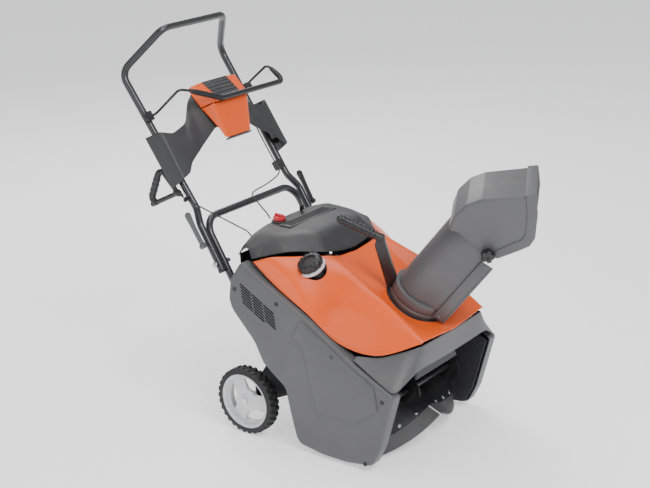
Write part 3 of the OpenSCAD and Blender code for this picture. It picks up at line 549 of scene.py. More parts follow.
def rounding(n: int, width: float, steps: int = 5, flat: int = 3) -> Array:
    """Weights that sample a polyline of n points with its corners rounded.

    Args:
        n: how many points the polyline has.
        width: how much of each side a corner uses, up to 0.5.
        steps: samples across a corner.
        flat: samples along a side.

    Returns:
        (samples, n) weights.
    """
    eye = np.eye(n)
    rows = [eye[:1]]
    for k in range(1, n):
        a = eye[k - 1] if k == 1 else eye[k - 1] * (1 - width) + eye[k] * width
        b = eye[k] if k == n - 1 else eye[k] * (1 - width) + eye[k - 1] * width
        t = np.linspace(0, 1, flat + 2)[1:, None]
        rows.append(a * (1 - t) + b * t)
        if k < n - 1:
            s = np.linspace(0, 1, steps + 1)[1:, None]
            c = eye[k] * (1 - width) + eye[k + 1] * width
            rows.append((1 - s) ** 2 * b + 2 * s * (1 - s) * eye[k] + s * s * c)
    return np.concatenate(rows)


def smooth_along(n: int, steps: int) -> Array:
    """Catmull-Rom weights over n stations.

    Args:
        n: stations.
        steps: samples between stations.

    Returns:
        (samples, n) weights.
    """
    eye = np.eye(n)
    rows = []
    for i in range(n - 1):
        a, b, c, d = eye[max(i - 1, 0)], eye[i], eye[i + 1], eye[min(i + 2, n - 1)]
        t = (np.arange(steps) / steps)[:, None]
        rows.append(0.5 * (2 * b + (c - a) * t + (2 * a - 5 * b + 4 * c - d) * t ** 2
                           + (3 * b - a - 3 * c + d) * t ** 3))
    rows.append(eye[-1:])
    return np.concatenate(rows)


def mirrored(lines: list) -> Array:
    """Both halves as (stations, lines, 3), from lines for +X with the outermost first."""
    half = np.array(lines, float).transpose(1, 0, 2)
    flip = half * np.array([-1, 1, 1])
    return np.concatenate([flip, half[:, -2::-1]], 1)


def loft(name: str, along: Array, p: Array, across: Array, wall: float, place: Place = HERE,
         edge: float = 1.0, segments: int = 3) -> Obj:
    """A walled skin over a coarse grid: each fine point is a weighted sum of the coarse ones.

    Args:
        name: the piece's name.
        along: (rows, stations) weights.
        p: (stations, lines, 3) coarse points.
        across: (columns, lines) weights.
        wall: thickness in millimetres.
        place: the frame the points are in.
        edge: edge radius in millimetres.
        segments: steps round an edge.

    Returns:
        The skin, with its modifiers live.
    """
    q = np.einsum("ri,ijk,sj->rsk", along, p, across)
    return bevel(thicken(grid_object(name, place.put(q)), wall), edge, segments, SKIN_ANGLE)


def arcs(p: list, r: float, steps: int = 10) -> Array:
    """A polyline with its corners rounded.

    Args:
        p: corner points.
        r: radius in millimetres.
        steps: samples to each corner.

    Returns:
        (k, 3) points.
    """
    pts = [np.array(q, float) for q in p]
    out = [pts[0][None]]
    for a, b, c in zip(pts, pts[1:], pts[2:]):
        u, v = unit(b - a), unit(c - b)
        angle = math.acos(float(np.clip(u @ v, -1, 1)))
        w = unit(v - u * (u @ v))
        t = (angle * np.linspace(0, 1, steps + 1))[:, None]
        out.append(b - u * r * math.tan(angle / 2) + r * (np.sin(t) * u + (1 - np.cos(t)) * w))
    out.append(pts[-1][None])
    return np.concatenate(out)


def resample(p: Array, step: float) -> Array:
    """Points along a polyline at even steps, in millimetres."""
    d = np.concatenate([[0], np.cumsum(np.linalg.norm(np.diff(p, axis=0), axis=1))])
    t = np.linspace(0, d[-1], max(2, int(d[-1] / step) + 1))
    return np.stack([np.interp(t, d, p[:, k]) for k in range(3)], 1)


def frames(p: Array) -> tuple[Array, Array]:
    """Side and up vectors at each point of a (k, 3) route."""
    t = unit(np.gradient(p, axis=0))
    side = unit(np.cross(t, SWEEP_HINT))
    return side, np.cross(side, t)


def sweep(name: str, p: Array, r: float | Array, sides: int = 32) -> Obj:
    """A round bar along a route: a circle across the route at each of its points.

    Args:
        name: the piece's name.
        p: (k, 3) route in millimetres.
        r: radius, or one for each point.
        sides: sides round the bar.

    Returns:
        The bar.
    """
    side, up = frames(p)
    a = np.linspace(0, 2 * np.pi, sides, endpoint=False)
    ring = np.cos(a)[None, :, None] * side[:, None] + np.sin(a)[None, :, None] * up[:, None]
    rr = np.broadcast_to(np.asarray(r, float), (len(p),))[:, None, None]
    return grid_object(name, p[:, None] + ring * rr, False, True, True)


def revolve(name: str, profile: list, origin: Array, axis: Array, count: int = 96,
            lobes: int = 0, depth: float = 0.0) -> Obj:
    """A turned piece: a profile carried round an axis, with scallops cut as a cosine cubed.

    Args:
        name: the piece's name.
        profile: (along, radius) points; a profile that ends where it starts makes a ring.
        origin: a point on the axis, in millimetres.
        axis: its direction.
        count: steps round.
        lobes: scallops round the rim.
        depth: their depth in millimetres.

    Returns:
        The piece.
    """
    q = np.array(profile, float)
    n = unit(np.array(axis, float))
    side = unit(np.cross(n, TURN_HINT))
    up = np.cross(n, side)
    a = np.linspace(0, 2 * np.pi, count, endpoint=False)[None, :]
    rr = q[:, 1:2]
    if lobes:
        outer = rr > 0.55 * q[:, 1].max()
        rr = rr - depth * (0.5 + 0.5 * np.cos(lobes * a)) ** 3 * outer
    p = (np.array(origin, float) + q[:, 0][:, None, None] * n
         + (np.cos(a) * rr)[..., None] * side + (np.sin(a) * rr)[..., None] * up)
    open_ends = not np.allclose(q[0], q[-1])
    return soft_edges(tidy_normals(grid_object(name, p, False, True, open_ends)), 38)


def rounded_outline(points: list, r: float, steps: int = 5) -> Array:
    """A closed outline in a plane with rounded corners.

    Args:
        points: corners.
        r: radius in millimetres.
        steps: samples to each corner.

    Returns:
        (k, 2) points.
    """
    p = np.array(points, float)
    to_prev, to_next = np.roll(p, 1, 0) - p, np.roll(p, -1, 0) - p
    prev, nxt = unit(to_prev), unit(to_next)
    reach = np.minimum(np.linalg.norm(to_prev, axis=1), np.linalg.norm(to_next, axis=1))
    cutback = np.minimum(r, reach * 0.42)[:, None]
    s = np.linspace(0, 1, steps + 1)[None, :, None]
    a, b = (p + prev * cutback)[:, None], (p + nxt * cutback)[:, None]
    return ((1 - s) ** 2 * a + 2 * s * (1 - s) * p[:, None] + s * s * b).reshape(-1, 2)


def inset(p: Array, d: float) -> Array:
    """A counter-clockwise outline moved inwards by d."""
    u, v = unit(p - np.roll(p, 1, 0)), unit(np.roll(p, -1, 0) - p)
    a, b = np.stack([-u[:, 1], u[:, 0]], 1), np.stack([-v[:, 1], v[:, 0]], 1)
    return p + d * (a + b) / (1 + np.sum(a * b, 1, keepdims=True))


def slab(name: str, outline: Array, x0: float, x1: float, place: Place = HERE,
         edge: float = 1.0) -> Obj:
    """An outline in Y and Z made solid along X, with rounded edges.

    Args:
        name: the piece's name.
        outline: (k, 2) points.
        x0: start.
        x1: end.
        place: the frame it is in.
        edge: edge radius.

    Returns:
        The solid.
    """
    n = len(outline)
    p = np.concatenate([np.column_stack([np.full(n, x), outline]) for x in (x0, x1)])
    faces = grid_faces(2, n, False, True).tolist() + [list(range(n))[::-1], list(range(n, 2 * n))]
    obj = tidy_normals(mesh_object(name, place.put(p), faces))
    return bevel(obj, edge, 3) if edge else obj


def block(name: str, low: tuple, high: tuple, place: Place = HERE,
          edge: float = 1.5) -> Obj:
    """A box with rounded edges, between two corners."""
    outline = np.array([[low[1], low[2]], [high[1], low[2]], [high[1], high[2]],
                        [low[1], high[2]]], float)
    return slab(name, outline, low[0], high[0], place, edge)


def dress(obj: Obj, finish: str, body: str, *nodes: str) -> Obj:
    """Gives a piece its finish and body.

    Args:
        obj: the piece.
        finish: the finish, which is also the record's slot.
        body: the CAD body it rides on.
        nodes: CAD nodes it stands for.

    Returns:
        The piece.
    """
    obj.data.materials.clear()
    obj.data.materials.append(MATERIALS[finish])
    if body:
        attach(obj, body)
    if nodes:
        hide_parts(*nodes)
    LOG.info("piece %s: %d faces", obj.name, len(obj.data.polygons))
    return obj


# --------------------------------------------------------------------------- sub-assemblies
PANEL = [(-214, 21), (-127, 8), (-46, 8), (33, 20), (48, 38), (62, 89), (76, 147), (83, 182),
         (162, 240),
         (193, 300), (271, 382), (282, 412), (274, 475), (234, 533), (155, 489), (-12, 400),
         (-158, 310),
         (-287, 245), (-242, 77)]
PANEL_TOP = np.array([(-287, 245), (-158, 310), (-12, 400), (155, 489), (234, 533)], float)


def panel_top(y: float) -> float:
    """Height of the side panel's upper edge at y."""
    return float(np.interp(y, PANEL_TOP[:, 0], PANEL_TOP[:, 1]))


def flip_x(obj: Obj, name: str) -> Obj:
    """A mirrored copy, to the machine's right."""
    mesh = obj.data.copy()
    co = np.empty(len(mesh.vertices) * 3, np.float32)
    mesh.vertices.foreach_get("co", co)
    co = co.reshape(-1, 3) * np.array([-1, 1, 1], np.float32)
    mesh.vertices.foreach_set("co", co.ravel())
    mesh.flip_normals()
    mesh.update()
    out = bpy.data.objects.new(name, mesh)
    bpy.context.scene.collection.objects.link(out)
    return out


@dataclass
class SidePanels:
    """The two moulded grey sides with their raised field, louvres and screws."""

    outer: float = 277.6
    inner: float = 240.0
    fillet: float = 9.0
    wall: float = 3.0
    field_rise: float = 4.2
    slot_height: float = 5.0
    slot_bay: float = 47.0
    slot_slope: float = 29.0
    slot_gap: float = 3.0
    slot_rows: int = 7
    slot_start: tuple[float, float] = (234.0, 471.0)
    slot_step: tuple[float, float] = (-1.2, -9.0)
    outline_r: float = 11.0
    high_screw_y: float = -86.0
    head_rise: tuple[float, float] = (0.4, 2.4)
    screws: tuple[tuple[float, float], ...] = ((-252, 226), (-194, 24), (-86, 321), (105, 434),
                                               (256, 448))

    def shell(self) -> Obj:
        """The wrapped skin.

        Returns:
            The left panel's shell.
        """
        line = rounded_outline(PANEL, self.outline_r, 5)
        a = np.linspace(0, math.pi / 2, 7)
        xs = np.concatenate([[self.inner], self.outer - self.fillet + self.fillet * np.sin(a)])
        ins = np.concatenate([[0.0], self.fillet * (1 - np.cos(a))])
        rows = np.stack([np.column_stack([np.full(len(line), x), inset(line, i)])
                         for x, i in zip(xs, ins)])
        n, m = rows.shape[:2]
        faces = grid_faces(n, m, False, True).tolist() + [[(n - 1) * m + k for k in range(m)]]
        obj = tidy_normals(mesh_object("panel_shell", rows.reshape(-1, 3), faces))
        if obj.data.polygons[len(faces) - 1].normal.x < 0:
            obj.data.flip_normals()
        return thicken(obj, self.wall)

    def slots(self) -> list[Obj]:
        """Cutters for the louvres."""
        slope = math.radians(180 + self.slot_slope)
        along = np.array([math.cos(slope), math.sin(slope)])
        down = np.array([-math.sin(slope), math.cos(slope)])
        first, step = np.array(self.slot_start), np.array(self.slot_step)
        length, last = self.slot_bay - self.slot_gap, self.slot_rows - 1
        out = []
        for row in range(self.slot_rows):
            for bay in range(3 if row < last else 2):
                start = first + step * row + along * bay * self.slot_bay
                end = start + along * length
                box = rounded_outline([start, end, end + down * self.slot_height,
                                       start + down * self.slot_height], 1.6, 3)
                out.append(slab("slot", box, self.outer - 8, self.outer + 4, HERE, 0))
        return out

    def raised(self) -> Obj:
        """The raised upper field over the lower guard."""
        top = [(y, panel_top(y) - 13) for y in (20, -60, -150, -225)]
        ridge = [(-238, 196), (-163, 140), (-30, 141), (-4, 252), (14, 328), (52, 352)]
        line = rounded_outline(top + ridge, 9, 5)
        return slab("field", line, self.outer - 1.5, self.outer + self.field_rise - 0.4, HERE, 3.0)

    def build(self) -> None:
        """Makes both panels and their screws."""
        base = cut(self.shell(), join("slots", self.slots()))
        left = soft_edges(join("side_panel_left_skin", [base, self.raised()]), 34)
        right = flip_x(left, "side_panel_right_skin")
        dress(left, "panel_grey", "chassis", "side_panel_left")
        dress(right, "panel_grey", "chassis", "side_panel_right")
        heads = []
        profile = [(-3, 0.3), (-3, 6.2), (0.6, 6.4), (1.5, 5.4), (1.9, 3.6), (1.9, 2.4),
                   (0.4, 2.1),
                   (0.4, 0.05)]
        for side in (-1, 1):
            for y, z in self.screws:
                x = side * (self.outer + self.head_rise[y == self.high_screw_y])
                heads.append(revolve("head", profile, vec(x, y, z), vec(side, 0, 0), 36))
        dress(join("panel_screws_heads", heads), "black_plastic", "chassis", "panel_screws")


@dataclass
class Mouldings:
    """Hood, nose, engine cover and rear cover."""

    hole_r: float = 92.0
    wall: float = 3.0

    def hood(self) -> None:
        """The orange hood with its chute opening and filler hole."""
        lines = [
            [(163, -305, 372), (230, -205, 336), (258, -95, panel_top(-95) + 7),
             (258, 15, panel_top(15) + 7),
             (258, 115, panel_top(115) + 7), (258, 201, 536)],
            [(160, -306, 374), (182, -185, 424), (205, -75, 452), (238, 0, 430), (240, 75, 500),
             (232, 155, 552)],
            [(156, -307, 376), (152, -205, 445), (146, -125, 488), (138, -55, 519), (128, 0, 538),
             (120, 32, 547)],
            [(100, -309, 374), (98, -215, 404), (96, -135, 448), (92, -65, 486), (86, -5, 520),
             (80, 30, 535)],
            [(0, -310, 366), (0, -220, 390), (0, -140, 438), (0, -70, 478), (0, -10, 512),
             (0, 27, 530)]]
        p, r, cap = mirrored(lines), self.hole_r, FuelCap()
        hood = loft("hood_skin", smooth_along(len(p), 8), p, rounding(p.shape[1], 0.2), self.wall,
                    edge=0.8, segments=2)
        bore = revolve("bore", [(-120, 0.01), (-120, r), (80, r), (80, 0.01)], vec(*RING_AT),
                       RING.basis[:, 2], 120)
        neck = revolve("neck", [(-60, 0.01), (-60, 37), (30, 37), (30, 0.01)], cap.origin(),
                       cap.axis(), 64)
        dress(soft_edges(cut(hood, bore, neck), CREASE), "orange", "chassis", "hood")

    def nose(self) -> None:
        """The wrapped front strip."""
        lines = [[(266, -150, 322), (252, -150, 330)], [(268, -225, 281), (226, -208, 328)],
                 [(268, -285, 250), (190, -262, 346)], [(182, -305, 297), (160, -303, 362)],
                 [(90, -306, 295), (90, -305, 362)], [(0, -306, 294), (0, -306, 360)]]
        p = mirrored(lines)
        obj = loft("nose_skin", smooth_along(2, 8), p, rounding(p.shape[1], 0.3), self.wall,
                   edge=1.2)
        dress(soft_edges(bake(obj), 40), "panel_grey", "chassis", "nose")

    def covers(self) -> None:
        """The dark engine cover with its step, and the rear cover."""
        lines = [
            [(250, 212, 540), (236, 232, 560), (225, 262, 565), (222, 285, 530)],
            [(196, 118, 566), (165, 165, 590), (170, 262, 592), (180, 305, 530)],
            [(118, 42, 556), (105, 92, 600), (110, 268, 600), (110, 312, 530)],
            [(60, 34, 545), (60, 86, 601), (60, 270, 601), (60, 314, 530)],
            [(0, 32, 540), (0, 85, 602), (0, 270, 602), (0, 315, 530)]]
        p = mirrored(lines)
        cover = loft("cover_skin", rounding(4, 0.2, 6, 4), p, rounding(p.shape[1], 0.25),
                     self.wall,
                     segments=2)
        ribs = [block("rib", (-96, y, 599), (96, y + 3, 604.5), HERE, 1.0)
                for y in (188, 196, 204, 212)]
        pad = block("pad", (-112, 178, 598), (112, 222, 602.6), HERE, 2.0)
        base = revolve("base", [(-4, 0.1), (-4, 23.5), (1.5, 23.5), (3.2, 21.5), (3.2, 0.1)],
                       vec(-80, 243, 601), vec(0, 0, 1), 64)
        cover = join("engine_cover_skin", [cover, pad, *ribs])
        dress(soft_edges(cover, CREASE), "cover_grey", "chassis", "engine_cover")
        dress(base, "black_plastic", "chassis")
        rear = [(299.6, 525), (296, 470), (290, 400), (255, 330), (235, 290), (235, 222)]
        back = [(y - 3, z) for y, z in rear[::-1]]
        body = slab("rear", np.array(rear + back, float), -198, 198, HERE, 0.8)
        rib = np.array([(290, 405), (295, 405), (301, 470), (296, 470)], float)
        ribs = [slab("rib", rib, x - 3, x + 3, HERE, 1.2) for x in range(-150, 151, 60)]
        rear_cover = soft_edges(join("rear_cover_skin", [body, *ribs]), CREASE)
        dress(rear_cover, "cover_grey", "chassis", "rear_cover")

    def build(self) -> None:
        """Makes all mouldings."""
        self.hood()
        self.nose()
        self.covers()


@dataclass
class FuelCap:
    """The scalloped filler cap and its pale seat ring."""

    at: tuple[float, float, float] = (-184.0, 50.0, 534.0)
    lean: float = -30.0
    tip: float = -8.0
    lobes: int = 12
    lobe_depth: float = 3.2

    def origin(self) -> Array:
        """Where the cap's underside meets its axis."""
        return vec(*self.at)

    def axis(self) -> Array:
        """The cap's outward direction."""
        lean, tip = math.radians(self.lean), math.radians(self.tip)
        return np.array([math.cos(tip) * math.sin(lean), -math.sin(tip),
                         math.cos(tip) * math.cos(lean)])

    def build(self) -> None:
        """Makes the cap and the ring under it."""
        rim = [(0, 28), (0, 36.5), (3, 37.5), (14, 36.5), (18, 34), (20, 30), (20, 22), (16.5, 20),
               (16.5, 0.2)]
        seat = [(-11, 30), (-11, 38), (-6, 40), (-2, 38), (-1.2, 33), (-1.2, 28.5), (-11, 30)]
        cap = revolve("fuel_cap_turned", rim, self.origin(), self.axis(), 240, self.lobes,
                      self.lobe_depth)
        dress(cap, "black_plastic", "filler_cap", "fuel_cap")
        ring = revolve("filler_ring", seat, self.origin(), self.axis(), 128)
        dress(ring, "rim", "chassis")


@dataclass
class Wheels:
    """Ribbed tyres on three-spoke rims."""

    radius: float = 101.5
    width: float = 44.0
    rim_r: float = 84.0
    lugs: int = 30
    lug_depth: float = 4.0
    center: tuple[float, float] = (235.0, 101.5)
    inner_x: float = 236.0

    def tyre(self) -> Obj:
        """The left tyre, with staggered tread bars and moulded sidewall lines.

        The radius falls off towards the beads as a power of the distance from the middle; the bars
        are a clipped wave round the wheel, shifted by half a bar between the two sides.

        Returns:
            The tyre.
        """
        half = self.width / 2
        s = np.linspace(-1, 1, 61)
        across = half * np.sign(s) * (1 - (1 - np.abs(s)) ** 1.6)
        edge = np.clip((np.abs(s) - 0.55) / 0.45, 0, 1)
        base = self.radius - self.lug_depth - (self.radius - self.rim_r
                                               - self.lug_depth) * edge ** 2.2
        turns = np.linspace(0, 2 * np.pi, 900, endpoint=False)[:, None]
        phase = (turns * self.lugs / (2 * np.pi) + 0.5 * (s[None] > 0)
                 + 0.22 * np.abs(s[None])) % 1.0
        bar = np.clip((0.29 - np.abs(phase - 0.5)) / 0.05, 0, 1)
        tread = np.clip((0.80 - np.abs(s[None])) / 0.06, 0,
                        1) * np.clip((np.abs(s[None]) - 0.045) / 0.03, 0, 1)
        ring = np.exp(-((np.abs(s[None]) - 0.93) / 0.018) ** 2) * 1.1
        r = base[None] + self.lug_depth * bar * tread + ring
        x = np.broadcast_to(self.inner_x + half + across[None] * 0.985, r.shape)
        p = np.stack([x, self.center[0] + r * np.cos(turns), self.center[1] + r * np.sin(turns)],
                     -1)
        return grid_object("tyre_left_tread", p, True, True)

    def rim(self) -> Obj:
        """The left rim: barrel, dished web with three windows, and hub.

        Returns:
            The rim.
        """
        o, a = vec(self.inner_x, *self.center), vec(1, 0, 0)
        barrel = revolve("barrel", [(4, 70), (4, 84), (7, 85.5), (10, 82), (34, 82), (37, 85.5),
                                    (40, 84), (40, 76),
                                    (36, 75), (30, 76), (30, 72), (14, 72), (4, 70)], o, a, 160)
        web = revolve("web", [(21, 8), (21, 79), (25, 79), (27, 62), (33, 34), (34, 8), (21, 8)],
                      o, a, 160)
        windows = []
        for k in range(3):
            mid, wide = math.radians(120 * k), math.radians(39)
            t = np.linspace(mid - wide, mid + wide, 14)
            outer = np.column_stack([np.cos(t), np.sin(t)]) * 68
            t = np.linspace(mid + wide * 0.62, mid - wide * 0.62, 8)
            inner = np.column_stack([np.cos(t), np.sin(t)]) * 37
            ring = rounded_outline(np.concatenate([outer, inner]).tolist(), 5,
                                   3) + np.array(self.center)
            windows.append(slab("window", ring, self.inner_x + 10, self.inner_x + 44, HERE, 0))
        cut(web, join("windows", windows))
        web = bake(bevel(web, 1.2, 2, 40))
        hub = revolve("hub", [(0, 6.6), (0, 20), (8, 22), (30, 21), (37, 19), (38, 16), (38, 6.6),
                              (0, 6.6)], o, a, 96)
        return soft_edges(join("rim_left_turned", [barrel, web, hub]), 36)

    def build(self) -> None:
        """Makes both wheels."""
        for make, finish, node in ((self.tyre, "tyre", "tyre"), (self.rim, "rim", "rim")):
            left = make()
            right = flip_x(left, left.name.replace("left", "right"))
            dress(left, finish, "wheel_left", node + "_left")
            dress(right, finish, "wheel_right", node + "_right")


@dataclass
class Handles:
    """Tube handles, fold bolts, cam levers, bail and cords."""

    tube_r: float = 11.0
    tube_gap: float = 0.05
    leg_x: float = 212.0
    upper_x: float = 235.5
    crossbar: tuple[float, float] = (419.0, 612.0)
    leg_slope: float = 0.614
    leg_foot: float = 215.0
    upper_foot: float = 472.0
    pivot_z: float = 495.0
    clamp_z: float = 550.0
    lever_length: float = 108.0

    def leg_y(self, z: float) -> float:
        """The lower leg's Y at a height."""
        return self.crossbar[0] - (self.crossbar[1] - z) * self.leg_slope

    def tubes(self) -> None:
        """Both tube handles, with plugs in the upper tube's lower ends."""
        r, foot = self.tube_r - self.tube_gap, (self.leg_y(self.upper_foot), self.upper_foot)
        half = [(self.leg_x, self.leg_y(self.leg_foot), self.leg_foot),
                (self.leg_x, *self.crossbar)]
        low = [(-x, y, z) for x, y, z in half] + half[::-1]
        p = resample(arcs(low, 55, 16), 6)
        dress(sweep("lower_handle_tube", p, r), "tube_grey", "chassis", "lower_handle")
        half = [(self.upper_x, *foot), (self.upper_x, self.leg_y(601), 601), (214, *TUBE_LOW),
                (223, *TUBE_HIGH), (135, 612, 1141)]
        path = [(-x, y, z) for x, y, z in half] + half[::-1]
        upper = sweep("upper_tube", resample(arcs(path, 44, 16), 6), r)
        plug = [(-1, 0.1), (-1, 12.2), (9, 12.2), (10, 11)]
        ends = [revolve("plug", plug, vec(s * self.upper_x, *foot), vec(0, 0.523, 0.852), 48)
                for s in (-1, 1)]
        dress(upper, "tube_grey", "folding_handle", "upper_handle")
        dress(join("tube_plugs", ends), "black_plastic", "folding_handle")

    def bolts(self) -> None:
        """Domed bolt heads on the fold pivots and leg brackets."""
        dome = [(-6, 0.1), (-6, 7.5), (-1, 8.6), (1, 8.4), (3.2, 6.0), (4.2, 2.5), (4.4, 0.1)]
        parts = []
        for s in (-1, 1):
            for x, z in ((253, self.pivot_z), (227, 245), (227, 300)):
                at = vec(s * x, self.leg_y(z), z)
                parts.append(revolve("dome", dome, at, vec(s, 0, 0), 48))
        dress(join("pivot_domes", parts), "bright_steel", "chassis")

    def levers(self) -> None:
        """Cam levers: rounded squares that widen along a bowed line."""
        lean = math.degrees(math.atan2(1, self.leg_slope))
        place = Place((0.0, self.leg_y(self.clamp_z), self.clamp_z), turn("x", lean))
        y = np.linspace(0, self.lever_length, 40)
        s = y / self.lever_length
        wide = 7.6 + 3.8 * np.clip((y - 55) / 45, 0, 1) ** 1.3
        end = np.sqrt(np.clip(1 - np.clip((y - 96) / 12, 0, 1) ** 2, 0, 1))
        thick = 4.6 * (0.35 + 0.65 * end)
        mid = 263.0 + 1.5 * np.sin(s * np.pi) + 2.0 * s ** 2
        a = np.linspace(0, 2 * np.pi, 28, endpoint=False)
        cx, cz = (np.sign(v) * np.abs(v) ** 0.5 for v in (np.cos(a), np.sin(a)))
        half = np.stack([mid[:, None] + thick[:, None] * cx, np.repeat(y[:, None], len(a), 1),
                         (wide * end)[:, None] * cz], -1)
        for side, finish, body, node in ((1, "black_plastic", "lever_left", "cam_lever_left"),
                                         (-1, "panel_grey", "lever_right", "cam_lever_right")):
            p = half * np.array([side, 1, 1])
            bar = tidy_normals(grid_object("bar", place.put(p), False, True, True))
            cam = revolve("cam", [(-9, 0.1), (-9, 7.4), (-8, 8), (8, 8), (9, 7.4), (9, 0.1)],
                          place.put(vec(side * 263, 0, 0)), place.basis[:, 2], 48)
            dress(soft_edges(join(node + "_moulded", [bar, cam]), 40), finish, body, node)

    def bail(self) -> None:
        """The thin wire and its thick grip across the console."""
        wire = [(-246, 300, 20), (-200, 300, 20), (-200, 314, 150), (-168, 302, 153),
                (-60, 253, 155),
                (236, 250, 153), (205, 314, 150), (200, 300, 20), (246, 300, 20)]
        grip = [(-166, 301, 153.2), (-60, 253, 155), (236, 250, 153), (210, 303, 150.6)]
        thin = sweep("wire", TUBES.put(resample(arcs(wire, 14, 10), 4)), 3.9, 20)
        route = resample(arcs(grip, 14, 12), 3)
        n = len(route)
        fade = np.clip(np.minimum(np.arange(n), np.arange(n)[::-1]) / 9, 0, 1)
        thick = sweep("grip", TUBES.put(route), 4.4 + 4.0 * np.sqrt(fade), 28)
        dress(join("bail_wire", [thin, thick]), "black_plastic", "control_bail", "bail")

    def cords(self) -> None:
        """Starter rope in two runs, its grip, and the control cable."""
        exit_at, eye = vec(-178, 285, 590), vec(-240, 460, 672)
        run = np.concatenate([np.array([(-154, 240, 520), (-165, 262, 558)], float), exit_at[None],
                              np.linspace(exit_at, eye, 8)[1:]])
        rope = sweep("starter_rope_run", resample(run, 4), 2.1, 16)
        dress(rope, "cord", "", "starter_rope")
        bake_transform(rope)
        tip = vec(-240, 484, 683)
        rope2 = sweep("starter_rope_end", resample(np.array([eye, tip]), 3), 2.1, 16)
        dress(rope2, "cord", "")
        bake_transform(rope2)
        tubes = TUBES.put(np.array([(196, 292, 26), (196, 250, 12), (194, 160, 0), (194, 60, -2),
                                    (194, 20, -3)], float))
        hang = np.array([(178, 456, 640), (120, 450, 630), (40, 428, 634), (-20, 392, 642),
                         (-52, 352, 640),
                         (-66, 318, 626), (-70, 296, 612), (-70, 285, 598)], float)
        line = np.concatenate([tubes, hang])
        cable = sweep("control_cable_run", resample(smooth_along(len(line), 10) @ line, 4), 2.2,
                      16)
        dress(cable, "cord", "", "control_cable")
        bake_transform(cable)
        root, top, low = vec(-240, 490, 686), vec(-240, 556, 752), vec(-240, 605, 628)
        ring = sweep("ring", resample(arcs([root, top, low, root], 16, 12), 3), 7.4, 24)
        bar = arcs([top + (root - top) * 0.10, top, low, low + (root - low) * 0.10], 14, 10)
        bar = resample(bar, 2.5)
        s = np.linspace(0, 1, len(bar))
        palm = (8.0 + 3.2 * np.exp(-((s - 0.5) / 0.30) ** 4)
                + 0.5 * np.sin(s * 60) * np.exp(-((s - 0.5) / 0.25) ** 4))
        knob = revolve("neck", [(-20, 3.2), (-14, 5.5), (-6, 9.5), (4, 11.5), (12, 9), (16, 4)],
                       root,
                       vec(0, 0.975, 0.22), 48)
        grip = join("starter_grip_moulded", [ring, sweep("palm", bar, palm, 28), knob])
        dress(grip, "black_plastic", "pull_grip", "starter_grip")

    def build(self) -> None:
        """Makes everything on the handles."""
        self.tubes()
        self.bolts()
        self.levers()
        self.bail()
        self.cords()


@dataclass
class Console:
    """The winged grey console, its orange front and the ribbed cap."""

    wall: float = 3.0
    ribs: int = 6

    def wings(self) -> None:
        """The grey skin with its slanted groove."""
        lines = [[(250, 80, -15), (250, 250, -15)], [(248, 85, 40), (246, 240, 45)],
                 [(215, 95, 48), (205, 222, 52)], [(190, 122, 52), (150, 237, 62)],
                 [(120, 160, 62), (118, 292, 80)], [(60, 195, 85), (90, 318, 100)],
                 [(50, 150, 92), (45, 325, 105)], [(0, 146, 92), (0, 328, 105)]]
        p = mirrored(lines)
        parts = [loft("wing", smooth_along(2, 12), p, rounding(p.shape[1], 0.2), self.wall, TUBES,
                      1.4)]
        for side in (-1, 1):
            x0, x1 = sorted((side * 247.0, side * 224.0))
            parts += [block("tie", (x0, y, -8), (x1, y + 16, 8), TUBES, 1) for y in (104, 205)]
        skin = soft_edges(join("console_skin", parts), CREASE)
        dress(skin, "cover_grey", "folding_handle", "console")

    def front(self) -> None:
        """The orange front with a dark trim line below it."""
        rows = np.array([[(-58, 152, 94), (-50, 148, 96), (50, 148, 96), (58, 152, 94)],
                         [(-70, 190, 96), (-60, 178, 108), (60, 178, 108), (70, 190, 96)],
                         [(-90, 256, 91), (-80, 250, 133), (80, 250, 133), (90, 256, 91)]], float)
        obj = loft("console_front_skin", rounding(3, 0.25, 5, 5), rows, rounding(4, 0.16, 5, 4),
                   self.wall, TUBES)
        dress(soft_edges(bake(obj), 38), "orange", "folding_handle", "console_front")
        trim = block("console_trim", (-54, 143.5, 84), (54, 147.6, 99), TUBES, 1.5)
        dress(soft_edges(bake(trim), CREASE), "cover_grey", "folding_handle")

    def cap(self) -> None:
        """The cap: orange flanks and a dark ribbed middle."""
        lines = [[(93, 258, 93), (107, 322, 93)], [(82, 253, 136), (102, 326, 106)],
                 [(52, 252, 139), (60, 329, 109)], [(50, 252, 139), (56, 329, 109)]]
        arr = np.array(lines, float).transpose(1, 0, 2)
        for side, tag in ((1, "left"), (-1, "right")):
            p = arr * np.array([side, 1, 1])
            p = p if side < 0 else p[:, ::-1]
            obj = loft("cap_flank_" + tag, smooth_along(2, 8), p, rounding(4, 0.2), self.wall,
                       TUBES, 0.8)
            dress(soft_edges(tidy_normals(bake(obj)), 38), "orange", "folding_handle")
        x = np.linspace(-1, 1, 25)
        s = np.linspace(0, 1, 121)
        width = 50 + 6 * s
        ridge = 1.1 * np.clip(np.sin(s * self.ribs * 2 * np.pi) * 3, 0, 1) * (s < 0.86)
        rise = 139 - 30 * s + ridge + 0.6
        p = np.stack([x * width[:, None], np.repeat((252 + 77 * s)[:, None], len(x), 1),
                      rise[:, None] + 1.2 * (1 - x ** 2)], -1)
        obj = bevel(thicken(grid_object("console_cap_ribbed", TUBES.put(p)), self.wall), 0.6, 2,
                    SKIN_ANGLE)
        dress(soft_edges(bake(obj), 40), "cover_grey", "folding_handle", "console_cap")

    def build(self) -> None:
        """Makes the console."""
        self.wings()
        self.front()
        self.cap()


